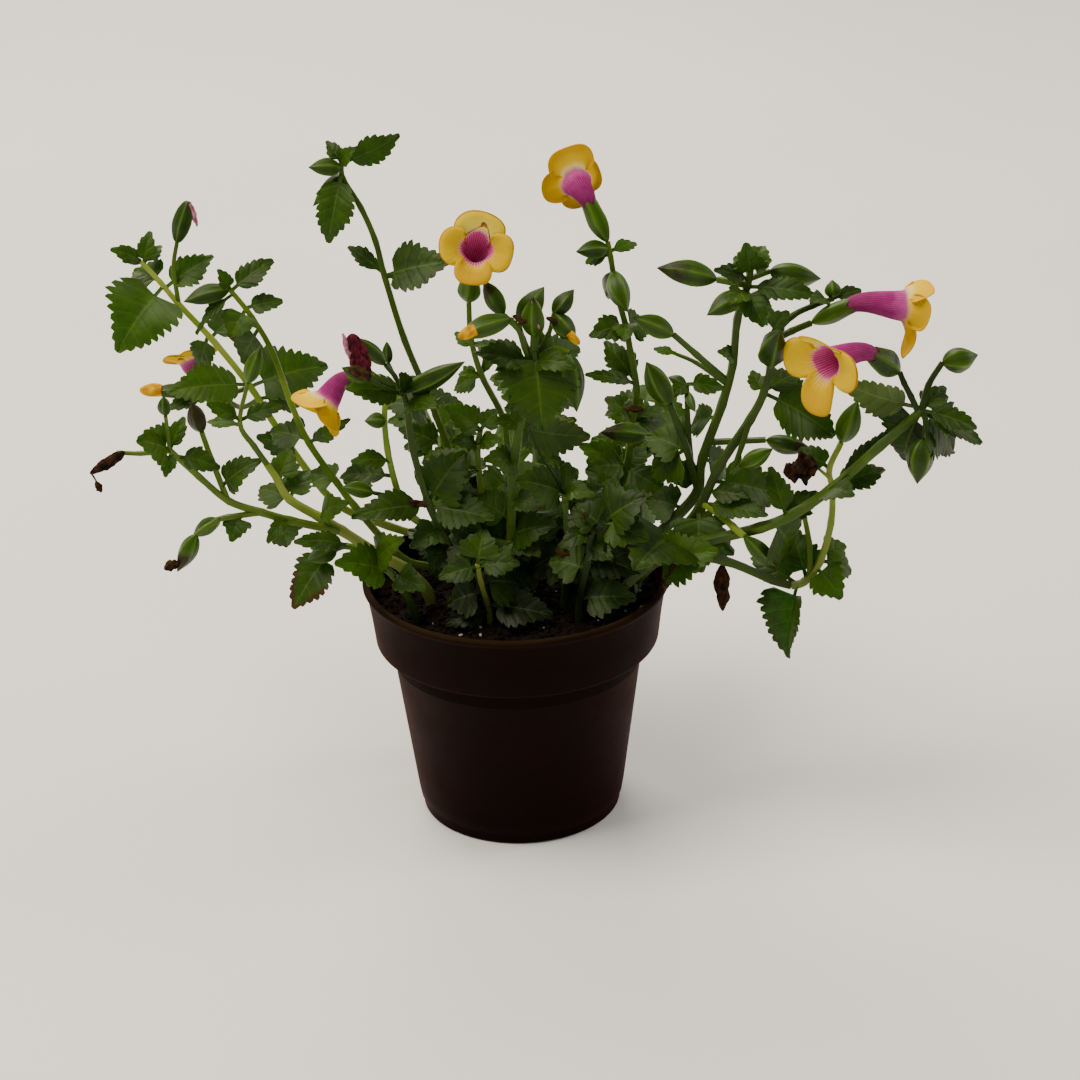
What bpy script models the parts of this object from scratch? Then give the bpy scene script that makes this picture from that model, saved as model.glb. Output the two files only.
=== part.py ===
"""Potted wishbone flower: a torenia with purple-throated yellow blooms in a black nursery pot.

The pot stands on Z = 0 with its axis on Z, and the photograph's viewer is at -Y.
Every leafy shoot is one solid, made of its stems, leaves, buds and calyces. Each bloom has a
purple tube that sits in a calyx and a yellow limb of four lobes round the tube's mouth.

The shoots were measured in the photograph on an upright board that stands across the pot's
axis. A place is written (across, up) in millimetres on that board, and a depth says how far
behind the board it really lies, so each piece stays on the line of sight that shows it.
"""

import math
import random

import bmesh
import bpy
from mathutils import Vector
from mathutils.bvhtree import BVHTree

MM = 0.001
EYE = Vector((9.0, -933.0, 539.0))

RIM_R = 55.0
RIM_TOP = 91.0
RIM_LOW = 67.0
BODY_TOP_R = 45.6
BODY_LOW_R = 37.4
FOOT_R = 36.4
FOOT_H = 4.0
WALL = 1.3
FLOOR = 2.0
DRAIN_HOLES = 5
DRAIN_HOLE_R = 4.0
DRAIN_RING_R = 26.0

SOIL_TOP = 82.0
SOIL_MOUND = 2.2
HOLE_LOW = 72.0
GAP = 0.3

BLADE = 0.7
CLEAR = 0.35
SINK = 1.1
SHOOT_SHARE = 0.73
STALK = 0.16
STALK_HALF = 0.8
PETAL = 0.7
CUP_R = 2.6
CUP_DEPTH = 2.6
TUBE_R = 5.2
TUBE_WALL = 0.7
LOBE_NOTCH = 7.0

# Each kind of pod has two rings: a share of its length, and a share of its widest radius.
POD_RINGS = {
    "beaked": ((0.30, 1.0), (0.72, 0.78)),
    "blunt": ((0.34, 1.0), (0.94, 0.78)),
    "knob": ((0.10, 0.85), (0.62, 1.0)),
}

# Each lobe of a bloom: centre angle and half width in degrees, reach in mm, points along it.
LOBES = ((90.0, 62.0, 12.2, 5), (196.0, 41.0, 11.6, 3), (270.0, 34.0, 12.6, 3), (344.0, 41.0, 11.6, 3))

GREEN = (0.10, 0.26, 0.03)
DRIED = (0.16, 0.06, 0.02)
MAROON = (0.10, 0.02, 0.04)
PURPLE = (0.36, 0.06, 0.26)
YELLOW = (0.85, 0.58, 0.03)
CREAM = (0.80, 0.66, 0.42)
POT_BROWN = (0.012, 0.006, 0.005)
SOIL_BROWN = (0.02, 0.012, 0.008)


def clear_scene():
    for old in list(bpy.data.objects):
        bpy.data.objects.remove(old, do_unlink=True)


def material(name, colour, roughness):
    made = bpy.data.materials.new(name)
    made.use_nodes = True
    shader = made.node_tree.nodes["Principled BSDF"]
    shader.inputs["Base Color"].default_value = (*colour, 1.0)
    shader.inputs["Roughness"].default_value = roughness
    return made


def mesh_object(name, solid, colour, roughness=0.6):
    """Makes an object from a solid, which is a list of points in mm and a list of faces."""
    points, faces = solid
    mesh = bpy.data.meshes.new(name)
    mesh.from_pydata([Vector(p) * MM for p in points], [], faces)
    made = bpy.data.objects.new(name, mesh)
    bpy.context.scene.collection.objects.link(made)
    mesh.materials.append(material(name, colour, roughness))
    return made


def fuse(base, others, operation):
    """Joins or cuts the base with all the others in one Boolean, and applies it."""
    group = bpy.data.collections.new(base.name + "_group")
    bpy.context.scene.collection.children.link(group)
    for other in others:
        bpy.context.scene.collection.objects.unlink(other)
        group.objects.link(other)
    cut = base.modifiers.new("fuse", "BOOLEAN")
    cut.operation = operation
    cut.operand_type = "COLLECTION"
    cut.collection = group
    cut.solver = "MANIFOLD"
    bpy.context.view_layer.update()
    result = bpy.data.meshes.new_from_object(base.evaluated_get(bpy.context.evaluated_depsgraph_get()))
    base.modifiers.remove(cut)
    base.data = result
    for other in others:
        bpy.data.objects.remove(other, do_unlink=True)
    bpy.data.collections.remove(group)
    keep_one_body(result)


def lighten(base, share):
    """Collapses the slivers that fusing leaves, down to a share of the triangles."""
    thin = base.modifiers.new("lighten", "DECIMATE")
    thin.ratio = share
    bpy.context.view_layer.update()
    result = bpy.data.meshes.new_from_object(base.evaluated_get(bpy.context.evaluated_depsgraph_get()))
    base.modifiers.remove(thin)
    base.data = result
    shape = bmesh.new()
    shape.from_mesh(result)
    loose = [edge for edge in shape.edges if not edge.link_faces]
    bmesh.ops.delete(shape, geom=loose, context="EDGES")
    shape.to_mesh(result)
    shape.free()


def keep_one_body(mesh):
    """Drops the loose scraps and sealed hollows that fusing can leave beside the one body."""
    shape = bmesh.new()
    shape.from_mesh(mesh)
    bodies = []
    seen = set()
    for first in shape.verts:
        if first in seen:
            continue
        seen.add(first)
        body = [first]
        for vert in body:
            for edge in vert.link_edges:
                other = edge.other_vert(vert)
                if other not in seen:
                    seen.add(other)
                    body.append(other)
        bodies.append(body)
    bodies.sort(key=len)
    for scrap in bodies[:-1]:
        bmesh.ops.delete(shape, geom=scrap, context="VERTS")
    shape.to_mesh(mesh)
    shape.free()


# Places on the board and lines through them


def place(across, up, depth):
    """The real point that lies at the given depth behind the board's point (across, up)."""
    reach = (depth - EYE.y) / -EYE.y
    return EYE + (Vector((across, 0.0, up)) - EYE) * reach


def on_board(point):
    """Where a real point shows on the board, with its depth."""
    reach = -EYE.y / (point.y - EYE.y)
    seen = EYE + (point - EYE) * reach
    return (seen.x, seen.z, point.y)


def nearest(lines, across, up):
    """The place on a shoot's lines that shows closest to the board's point."""
    best = None
    for line in lines:
        for start, end in zip(line, line[1:]):
            run = (end[0] - start[0], end[1] - start[1])
            square = run[0] ** 2 + run[1] ** 2 or 1.0
            share = ((across - start[0]) * run[0] + (up - start[1]) * run[1]) / square
            share = min(1.0, max(0.0, share))
            spot = tuple(a + (b - a) * share for a, b in zip(start, end))
            away = math.hypot(spot[0] - across, spot[1] - up)
            if best is None or away < best[0]:
                best = (away, spot)
    return best[1]


def with_depths(places, first, last):
    """Gives board places depths that change evenly along the line."""
    runs = [0.0]
    for start, end in zip(places, places[1:]):
        runs.append(runs[-1] + math.dist(start[:2], end[:2]))
    return [(p[0], p[1], first + (last - first) * run / runs[-1]) for p, run in zip(places, runs)]


# The solids that a shoot is made of


def tube(points, widths, sides=4):
    """A closed tube with flat sides, as a torenia's square stem has."""
    sweep = []
    for number, point in enumerate(points):
        ahead = points[min(number + 1, len(points) - 1)]
        behind = points[max(number - 1, 0)]
        sweep.append((ahead - behind).normalized())
    side = sweep[0].orthogonal().normalized()
    verts = []
    for point, along, width in zip(points, sweep, widths):
        side = (side - along * side.dot(along)).normalized()
        other = along.cross(side)
        for corner in range(sides):
            angle = math.tau * (corner + 0.5) / sides
            verts.append(point + (side * math.cos(angle) + other * math.sin(angle)) * width * 0.58)
    faces = [tuple(range(sides - 1, -1, -1))]
    for ring in range(len(points) - 1):
        low = ring * sides
        for corner in range(sides):
            turn = (corner + 1) % sides
            faces.append((low + corner, low + turn, low + sides + turn, low + sides + corner))
    last = (len(points) - 1) * sides
    faces.append(tuple(range(last, last + sides)))
    return verts, faces


def blade_half_width(share):
    """Half the width of an ovate blade, from its base at 0 to its tip at 1, largest 0.5."""
    return 0.5 * math.sin(math.pi * share ** 0.72) ** 0.8 if share < 1.0 else 0.0


def blade(base, tip, width, normal, teeth, arch, fold, thick):
    """A toothed leaf on its stalk: both faces carry the same triangles and meet at each tooth's point."""
    along = tip - base
    length = along.length
    along.normalize()
    side = normal.cross(along).normalized()
    up = along.cross(side)
    verts = []

    def add(share, half, sharp=False):
        """Adds a place on both faces, or once where it is sharp, and gives its two numbers."""
        lift = arch * length * 4.0 * share * (1.0 - share) + fold * abs(half)
        spot = base + along * length * share + side * half + up * lift
        if sharp:
            verts.append(spot)
            return len(verts) - 1, len(verts) - 1
        verts.extend((spot + up * thick / 2, spot - up * thick / 2))
        return len(verts) - 2, len(verts) - 1

    step = (1.0 - STALK) / teeth
    lean = 0.8 - 0.35 / teeth
    left = [add(0.0, -STALK_HALF), add(STALK, -STALK_HALF)]
    right = [add(0.0, STALK_HALF), add(STALK, STALK_HALF)]
    sheet = [(left[0], right[0], right[1]), (left[0], right[1], left[1])]
    rib = None
    for number in range(teeth):
        last = number == teeth - 1
        notch_left, notch_right = left[-1], right[-1]
        outer = width * blade_half_width((number + lean) / teeth)
        point_left = add(STALK + step * (number + lean), -outer, True)
        point_right = add(STALK + step * (number + lean), outer, True)
        ahead = add(STALK + step * (number + 1), 0.0, last)
        if rib:
            sheet += [(rib, point_left, notch_left), (rib, notch_right, point_right)]
            sheet += [(rib, ahead, point_left), (rib, point_right, ahead)]
        else:
            sheet += [(notch_left, notch_right, ahead)]
            sheet += [(notch_left, ahead, point_left), (notch_right, point_right, ahead)]
        left.append(point_left)
        right.append(point_right)
        rib = ahead
        if not last:
            inner = width * 0.80 * blade_half_width((number + 1) / teeth)
            left.append(add(STALK + step * (number + 1), -inner))
            right.append(add(STALK + step * (number + 1), inner))
            sheet += [(rib, left[-1], point_left), (rib, point_right, right[-1])]
    faces = [tuple(spot[0] for spot in face) for face in sheet]
    faces += [tuple(spot[1] for spot in reversed(face)) for face in sheet]
    outline = right + [rib] + left[::-1]
    for start, end in zip(outline, outline[1:] + outline[:1]):
        if start[0] != start[1]:
            faces.append((start[0], start[1], end[1]))
        if end[0] != end[1]:
            faces.append((start[0], end[1], end[0]))
    return verts, faces


def ridged_rings(stations, count):
    """Ridged rings. A station is a centre, an axis, a side, a radius and a valley's share of it."""
    verts = []
    for centre, axis, side, radius, valley in stations:
        other = axis.cross(side)
        for corner in range(count):
            reach = radius if corner % 2 == 0 else radius * valley
            angle = math.tau * corner / count
            verts.append(centre + (side * math.cos(angle) + other * math.sin(angle)) * reach)
    return verts


def ring_faces(rings, count):
    faces = []
    for ring in range(rings - 1):
        low = ring * count
        for corner in range(count):
            turn = (corner + 1) % count
            faces.append((low + corner, low + turn, low + count + turn, low + count + corner))
    return faces


def pod(base, tip, width, kind="beaked", grow=0.0):
    """A ribbed bud or seed pod with a beak or a blunt end, or the knob of petals in a blunt one."""
    axis = tip - base
    length = axis.length
    axis.normalize()
    side = axis.orthogonal().normalized()
    stations = [(base + axis * length * share, axis, side, width * 0.5 * size + grow, 0.78)
                for share, size in POD_RINGS[kind]]
    count = 8
    verts = ridged_rings(stations, count)
    faces = ring_faces(2, count)
    verts += [base - axis * grow, tip + axis * grow]
    foot = len(verts) - 2
    for corner in range(count):
        turn = (corner + 1) % count
        faces.append((foot, turn, corner))
        faces.append((foot + 1, count + corner, count + turn))
    return verts, faces


def calyx_cup(base, tip, width):
    """The ribbed calyx that a bloom's tube stands in: a deep cup with five short teeth."""
    axis = tip - base
    length = axis.length
    axis.normalize()
    side = axis.orthogonal().normalized()
    floor = 1.0 - CUP_DEPTH / length
    rings = ((0.30, width * 0.48, 0.78), (0.66, width * 0.5, 0.82), (1.0, CUP_R + 1.0, 0.9),
             (0.96, CUP_R, 1.0), (floor, CUP_R, 1.0))
    stations = [(base + axis * length * share, axis, side, radius, valley)
                for share, radius, valley in rings]
    count = 10
    verts = ridged_rings(stations, count)
    faces = ring_faces(5, count)
    verts += [base, base + axis * length * floor]
    foot = len(verts) - 2
    for corner in range(count):
        turn = (corner + 1) % count
        faces.append((foot, turn, corner))
        faces.append((foot + 1, 4 * count + corner, 4 * count + turn))
    return verts, faces


# Blooms


def tube_path(start, start_way, mouth, mouth_way, share):
    """A point and a direction on the bloom's bent tube, from the calyx at 0 to the mouth at 1."""
    pull = (mouth - start).length
    a = 2 * share ** 3 - 3 * share ** 2 + 1
    b = share ** 3 - 2 * share ** 2 + share
    c = -2 * share ** 3 + 3 * share ** 2
    d = share ** 3 - share ** 2
    point = start * a + start_way * pull * b + mouth * c + mouth_way * pull * d
    a = 6 * share ** 2 - 6 * share
    b = 3 * share ** 2 - 4 * share + 1
    d = 3 * share ** 2 - 2 * share
    way = (start - mouth) * a + start_way * pull * b + mouth_way * pull * d
    return point, way.normalized()


def corolla_tube(start, start_way, mouth, mouth_way, mouth_r):
    """The purple tube: narrow and straight in the calyx, then bent, wide and open at its mouth."""
    sides = 10
    straight = start + start_way * (CUP_DEPTH + 0.6)
    middle, middle_way = tube_path(straight, start_way, mouth, mouth_way, 0.5)
    stations = ((start, start_way, 1.55), (straight, start_way, 1.95),
                (middle, middle_way, mouth_r * 0.76), (mouth, mouth_way, mouth_r),
                (mouth, mouth_way, mouth_r - TUBE_WALL), (middle, middle_way, mouth_r * 0.76 - TUBE_WALL))
    side = start_way.orthogonal().normalized()
    verts = []
    for point, way, radius in stations:
        side = (side - way * side.dot(way)).normalized()
        other = way.cross(side)
        for corner in range(sides):
            angle = math.tau * corner / sides
            verts.append(point + (side * math.cos(angle) + other * math.sin(angle)) * radius)
    faces = ring_faces(6, sides)
    faces.append(tuple(range(sides - 1, -1, -1)))
    faces.append(tuple(range(5 * sides, 6 * sides)))
    return verts, faces


def limb_outline(droop):
    """Angles and reaches round a bloom's edge: four round lobes with a notch between each two."""
    edge = []
    for number, (centre, half, reach, count) in enumerate(LOBES):
        if centre == 270.0:
            reach *= droop
        for point in range(count):
            offset = -1.0 + 2.0 * (point + 0.5) / count
            swell = math.sqrt(1.0 - offset * offset) ** 0.7
            edge.append((centre + half * offset, LOBE_NOTCH + (reach - LOBE_NOTCH) * swell))
        following = LOBES[(number + 1) % len(LOBES)]
        stop = centre + half
        begin = following[0] - following[1]
        if begin < stop - 180.0:
            begin += 360.0
        edge.append(((stop + begin) / 2, LOBE_NOTCH))
    return edge


def limb(mouth, facing, roll, mouth_r, size, curl, droop):
    """The yellow limb: a short flare from the mouth and four lobes that bend outwards."""
    facing = facing.normalized()
    top = (Vector((0.0, 0.0, 1.0)) - facing * facing.z).normalized()
    right = top.cross(facing)
    turned_top = top * math.cos(roll) - right * math.sin(roll)
    turned_right = right * math.cos(roll) + top * math.sin(roll)
    origin = mouth + facing * GAP
    edge = limb_outline(droop)
    throat = mouth_r - TUBE_WALL / 2
    half = PETAL / 2
    verts = []
    for layer in (1, -1):
        for band in range(3):
            for degrees, reach in edge:
                angle = math.radians(degrees)
                out = turned_right * math.cos(angle) + turned_top * math.sin(angle)
                reach = throat + (reach * size - throat) * (0.0, 0.45, 1.0)[band]
                rise = (0.0, 2.2, 2.9 - curl * (0.6 + 0.4 * math.sin(angle)))[band]
                lean = (0.0, 0.85, 1.0)[band]
                away = facing * lean - out * math.sqrt(1.0 - lean * lean)
                verts.append(origin + out * reach + facing * rise + away * half * layer)
    count = len(edge)
    faces = []
    for band in range(2):
        for corner in range(count):
            turn = (corner + 1) % count
            a = band * count + corner
            b = band * count + turn
            c = a + count
            d = b + count
            low = 3 * count
            faces += [(a, c, b), (b, c, d)]
            faces += [(low + a, low + b, low + c), (low + b, low + d, low + c)]
    for corner in range(count):
        turn = (corner + 1) % count
        low = 3 * count
        faces += [(corner, turn, low + turn), (corner, low + turn, low + corner)]
        a = 2 * count + corner
        b = 2 * count + turn
        faces += [(a, low + b, b), (a, low + a, low + b)]
    return verts, faces


def outward(solid):
    """Turns a closed solid's faces to point out."""
    shape = bmesh.new()
    verts = [shape.verts.new(p) for p in solid[0]]
    for face in solid[1]:
        shape.faces.new([verts[v] for v in face])
    bmesh.ops.triangulate(shape, faces=shape.faces[:])
    bmesh.ops.recalc_face_normals(shape, faces=shape.faces[:])
    if shape.calc_volume(signed=True) < 0:
        bmesh.ops.reverse_faces(shape, faces=shape.faces[:])
    shape.verts.index_update()
    made = ([v.co.copy() for v in shape.verts], [tuple(v.index for v in f.verts) for f in shape.faces])
    shape.free()
    return made


# The room that each piece already takes up


taken = []


def box_of(points):
    low = [min(p[i] for p in points) for i in range(3)]
    high = [max(p[i] for p in points) for i in range(3)]
    return low, high


def take(name, solid):
    taken.append((name, box_of(solid[0]), BVHTree.FromPolygons(solid[0], solid[1])))


def is_clear(solid, inside=None):
    """Whether a solid touches no piece that stands so far, leaving out those of one node."""
    low, high = box_of(solid[0])
    tree = BVHTree.FromPolygons(solid[0], solid[1])
    for other, (other_low, other_high), other_tree in taken:
        if other == inside:
            continue
        apart = any(low[i] > other_high[i] or high[i] < other_low[i] for i in range(3))
        if not apart and tree.overlap(other_tree):
            return False
    return True


def tries(first):
    """The tip depths that a piece tries in turn: its own, then further to each side."""
    sign = 1.0 if first >= 0 else -1.0
    return [first + sign * step for step in (0, 5, -5, 10, -10, 15, -15, 21, -21, 28, -28)]


def first_clear(name, first, make):
    """The first of the tried depths that keeps off every piece, or else off the other nodes.

    make(depth, grow) gives the solid; where it is grown it also leaves out its rooted end.
    """
    spare = None
    for toward in tries(first):
        if is_clear(make(toward, False), name):
            if is_clear(make(toward, True)):
                return toward
            if spare is None:
                spare = toward
    return spare


class Shoot:
    """One leafy shoot. Its stems are laid out at once, and its leaves when all stems stand."""

    every = []

    def __init__(self, name):
        self.name = name
        self.lines = []
        self.solids = []
        self.leaves = []
        self.buds = []
        self.hung = []
        self.root = None
        Shoot.every.append(self)

    def stem(self, root, places, depth, thick):
        """A main stem from its root, a real (x, y) on the soil, through board places."""
        self.root = (root, thick[0])
        ground = on_board(Vector((root[0], root[1], SOIL_TOP + 5.0)))
        line = with_depths([ground[:2]] + list(places), root[1], depth)
        self.lines.append(line)
        low = Vector((root[0], root[1], HOLE_LOW + GAP))
        self.add_tube([low] + [place(*spot) for spot in line], thick)

    def twig(self, places, toward=0.0, thick=(2.0, 1.7)):
        """A side stalk that leaves the shoot's own stems at the place nearest its first one."""
        start = nearest(self.lines, *places[0])
        line = with_depths([start[:2]] + list(places[1:]), start[2], start[2] + toward)
        self.lines.append(line)
        self.add_tube([place(*spot) for spot in line], thick)

    def add_tube(self, points, thick):
        """A stalk runs on a little past its last point, so that what grows there is well rooted."""
        points[-1] = points[-1] + (points[-1] - points[-2]).normalized() * SINK
        last = len(points) - 1
        widths = [thick[0] + (thick[1] - thick[0]) * k / last for k in range(last + 1)]
        self.solids.append(outward(tube(points, widths)))

    def leaf(self, base, tip, width, toward=None, teeth=2, turn=0.0, arch=0.07, fold=0.22):
        self.leaves.append((base, tip, width, toward, teeth, turn, arch, fold))

    def bud(self, base, tip, width, toward=0.0, kind="beaked"):
        self.buds.append((base, tip, width, toward, kind))

    def hang(self, name, base, tip, width, colour, away, toward=0.0, kind="beaked"):
        """A dried or coloured piece, a node of its own, that nearly touches the shoot."""
        self.hung.append((name, base, tip, width, colour, away, toward, kind))

    def keep(self, name, solid):
        if name == self.name:
            self.solids.append(solid)
        take(name, solid)

    def grow_buds(self):
        ends = []
        for base, tip, width, toward, kind in self.buds:
            start = nearest(self.lines, *base)
            foot = place(*start)

            def make(depth, outer):
                end = place(*tip, start[2] + depth)
                rooted = foot + (end - foot) * (0.3 if outer else 0.0)
                return outward(pod(rooted, end, width, kind, CLEAR))

            toward = first_clear(self.name, toward, make)
            if toward is None:
                print("no room for bud", self.name, base, tip)
                continue
            self.keep(self.name, outward(pod(foot, place(*tip, start[2] + toward), width, kind)))
            ends.append([(*tip, start[2] + toward)] * 2)
        for name, base, tip, width, colour, away, toward, kind in self.hung:
            start = nearest(self.lines + ends, *base)

            def make(depth, outer, grow=CLEAR):
                end = place(*tip, start[2] + depth)
                way = (end - place(*start)).normalized()
                return outward(pod(place(*start) + way * (away + grow), end, width, kind, grow))

            toward = first_clear(None, toward, make)
            if toward is None:
                print("no room for hung", name)
                continue
            solid = make(toward, False, 0.0)
            mesh_object(name, solid, colour, 0.7)
            take(name, solid)

    def grow_leaves(self):
        for number, (base, tip, width, toward, teeth, turn, arch, fold) in enumerate(self.leaves):
            start = nearest(self.lines, *base)
            foot = place(*start)
            if toward is None:
                toward = math.dist(base, tip) * 0.4 * (1.0 if number % 2 else -1.0)

            def make(depth, outer, thick=BLADE + 2 * CLEAR):
                end = place(*tip, start[2] + depth)
                normal = leaf_normal(foot, end, turn)
                real = width / max(0.6, abs(normal.dot((EYE - foot).normalized())))
                rooted = foot + (end - foot) * (0.3 if outer else 0.0)
                return outward(blade(rooted, end, real, normal, teeth, arch, fold, thick))

            toward = first_clear(self.name, toward, make)
            if toward is None:
                print("no room for leaf", self.name, base, tip)
                continue
            self.keep(self.name, make(toward, False, BLADE))

    def make(self):
        parts = [mesh_object(self.name, self.solids[0], GREEN)]
        for solid in self.solids[1:]:
            parts.append(mesh_object(self.name + "_piece", solid, GREEN))
        fuse(parts[0], parts[1:], "UNION")
        lighten(parts[0], SHOOT_SHARE)


def leaf_normal(foot, end, turn):
    """A leaf's upper side looks half to the sky and half to the viewer, and turns from there."""
    along = (end - foot).normalized()
    open_side = (Vector((0.0, -0.35, 1.0)).normalized() + (EYE - foot).normalized()) * 0.5
    across = along.cross(open_side).normalized()
    normal = across.cross(along)
    angle = math.radians(turn)
    return normal * math.cos(angle) + across * math.sin(angle)


class Bloom:
    """One flower on a shoot: its calyx belongs to the shoot, its tube and limb are nodes."""

    every = []

    def __init__(self, name, shoot, base, tip, width, mouth, facing, roll=0.0, size=1.0, curl=1.0,
                 toward=0.0, mouth_r=TUBE_R, droop=1.0):
        self.name = name
        start = nearest(shoot.lines, *base)
        foot = place(*start)
        self.end = place(tip[0], tip[1], start[2] + toward * 0.35)
        self.calyx = outward(calyx_cup(foot, self.end, width))
        shoot.solids.append(self.calyx)
        self.way = (self.end - foot).normalized()
        self.start = self.end - self.way * (CUP_DEPTH - GAP)
        self.mouth = place(mouth[0], mouth[1], start[2] + toward)
        self.facing = Vector(facing).normalized()
        self.roll = math.radians(roll)
        self.size = size
        self.curl = curl
        self.mouth_r = mouth_r
        self.droop = droop
        Bloom.every.append(self)

    def make(self):
        body = outward(corolla_tube(self.start, self.way, self.mouth, self.facing, self.mouth_r))
        shape = (self.mouth, self.facing, self.roll, self.mouth_r, self.size, self.curl, self.droop)
        lobes = outward(limb(*shape))
        for part, solid, colour in (("tube", body, PURPLE), ("lobes", lobes, YELLOW)):
            mesh_object(f"{self.name}_{part}", solid, colour, 0.5)
            take(f"{self.name}_{part}", solid)


def stamens(bloom, spread, rise):
    """Two arched filaments that meet at their anthers, the wishbone that names the flower."""
    facing = bloom.facing
    top = (Vector((0.0, 0.0, 1.0)) - facing * facing.z).normalized()
    right = top.cross(facing)
    arms = []
    for side in (-1.0, 1.0):
        route = []
        for share in (0.0, 0.3, 0.6, 0.85, 1.0):
            swing = spread * math.sin(math.pi * (0.25 + 0.75 * share)) * side
            route.append(bloom.mouth + right * swing + top * (rise * share - 2.4)
                         + facing * (6.4 * share ** 0.7 - 3.0))
        arms.append(tube(route, [0.9] * len(route)))
    anther = pod(route[-1] - right * 1.6, route[-1] + right * 1.6, 2.2)
    name = bloom.name + "_stamens"
    parts = [mesh_object(name, outward(anther), CREAM)]
    for arm in arms:
        parts.append(mesh_object(name + "_arm", outward(arm), CREAM))
    fuse(parts[0], parts[1:], "UNION")


# Pot and soil


def spun(name, profile, segments, colour, roughness):
    """A turned body. Its profile runs up the outside and down the inside, from axis to axis."""
    shape = bmesh.new()
    verts = [shape.verts.new((r * MM, 0.0, z * MM)) for r, z in profile]
    edges = [shape.edges.new(pair) for pair in zip(verts, verts[1:])]
    bmesh.ops.spin(shape, geom=verts + edges, axis=(0, 0, 1), cent=(0, 0, 0), steps=segments,
                   angle=math.tau, use_merge=True)
    bmesh.ops.remove_doubles(shape, verts=shape.verts[:], dist=0.00001)
    bmesh.ops.recalc_face_normals(shape, faces=shape.faces[:])
    mesh = bpy.data.meshes.new(name)
    shape.to_mesh(mesh)
    shape.free()
    mesh.shade_smooth()
    mesh.set_sharp_from_angle(angle=math.radians(35))
    made = bpy.data.objects.new(name, mesh)
    bpy.context.scene.collection.objects.link(made)
    mesh.materials.append(material(name, colour, roughness))
    return made


def post(name, x, y, low, high, radius, sides):
    """An upright prism that cuts a hole."""
    solid = tube([Vector((x, y, low)), Vector((x, y, high))], [radius / 0.58] * 2, sides)
    return mesh_object(name, outward(solid), SOIL_BROWN)


def make_pot():
    """The pressed plastic pot: a foot, a tapered body, a rounded step and a deep rim band."""
    outside = [(0.0, 0.0), (FOOT_R, 0.0), (FOOT_R, FOOT_H), (BODY_LOW_R, FOOT_H + 0.5),
               (BODY_TOP_R, RIM_LOW - 1.5), (BODY_TOP_R + 2.0, RIM_LOW - 0.4), (RIM_R - 4.4, RIM_LOW),
               (RIM_R - 3.5, RIM_LOW + 1.2), (RIM_R - 0.9, RIM_TOP - 3.2), (RIM_R, RIM_TOP - 2.6),
               (RIM_R, RIM_TOP)]
    inside = [(RIM_R - 1.7, RIM_TOP), (RIM_R - 4.9, RIM_LOW + 1.6), (BODY_TOP_R + 1.0, RIM_LOW + 0.6),
              (BODY_TOP_R - WALL, RIM_LOW - 1.5), (BODY_LOW_R - WALL, FLOOR), (0.0, FLOOR)]
    pot = spun("pot", outside + inside, 32, POT_BROWN, 0.45)
    holes = []
    for number in range(DRAIN_HOLES):
        angle = math.tau * (number + 0.5) / DRAIN_HOLES
        x = DRAIN_RING_R * math.cos(angle)
        y = DRAIN_RING_R * math.sin(angle)
        holes.append(post("drain_hole", x, y, -2.0, FLOOR + 2.0, DRAIN_HOLE_R, 8))
    fuse(pot, holes, "DIFFERENCE")
    return pot


def soil_height(x, y):
    """The soil is slightly mounded, with low clods."""
    radius = math.hypot(x, y)
    clods = 0.7 * math.sin(x * 0.31 + 1.3) * math.cos(y * 0.27 - 0.4) + 0.4 * math.sin(x * 0.6 - y * 0.5)
    return SOIL_TOP + SOIL_MOUND * (1.0 - (radius / 50.0) ** 2) + clods


def make_soil():
    """The potting mix fills the pot to 9 mm below its rim, with a plain hole for each stem."""
    low_r = BODY_LOW_R - WALL - 0.9
    wide_z = RIM_LOW + 2.2
    inner_rim = RIM_R - 4.9 - GAP - 0.2
    top_r = inner_rim + (SOIL_TOP - wide_z) * 2.8 / 21.8
    profile = [(0.0, FLOOR + GAP), (low_r, FLOOR + GAP), (BODY_TOP_R - WALL - GAP - 0.2, RIM_LOW - 1.5),
               (BODY_TOP_R + 1.0 - GAP - 0.2, wide_z), (inner_rim, wide_z), (top_r, SOIL_TOP - 1.0),
               (30.0, SOIL_TOP), (14.0, SOIL_TOP), (0.0, SOIL_TOP)]
    soil = spun("soil", profile, 24, SOIL_BROWN, 0.95)
    for vertex in soil.data.vertices:
        x, y, z = vertex.co / MM
        if z > SOIL_TOP - 0.5:
            vertex.co.z = soil_height(x, y) * MM
    holes = []
    for shoot in Shoot.every:
        (x, y), width = shoot.root
        holes.append(post("stem_hole", x, y, HOLE_LOW, SOIL_TOP + 9.0, width * 0.66 + 0.7, 5))
    fuse(soil, holes, "DIFFERENCE")
    return soil


# The shoots, from left to right


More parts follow.
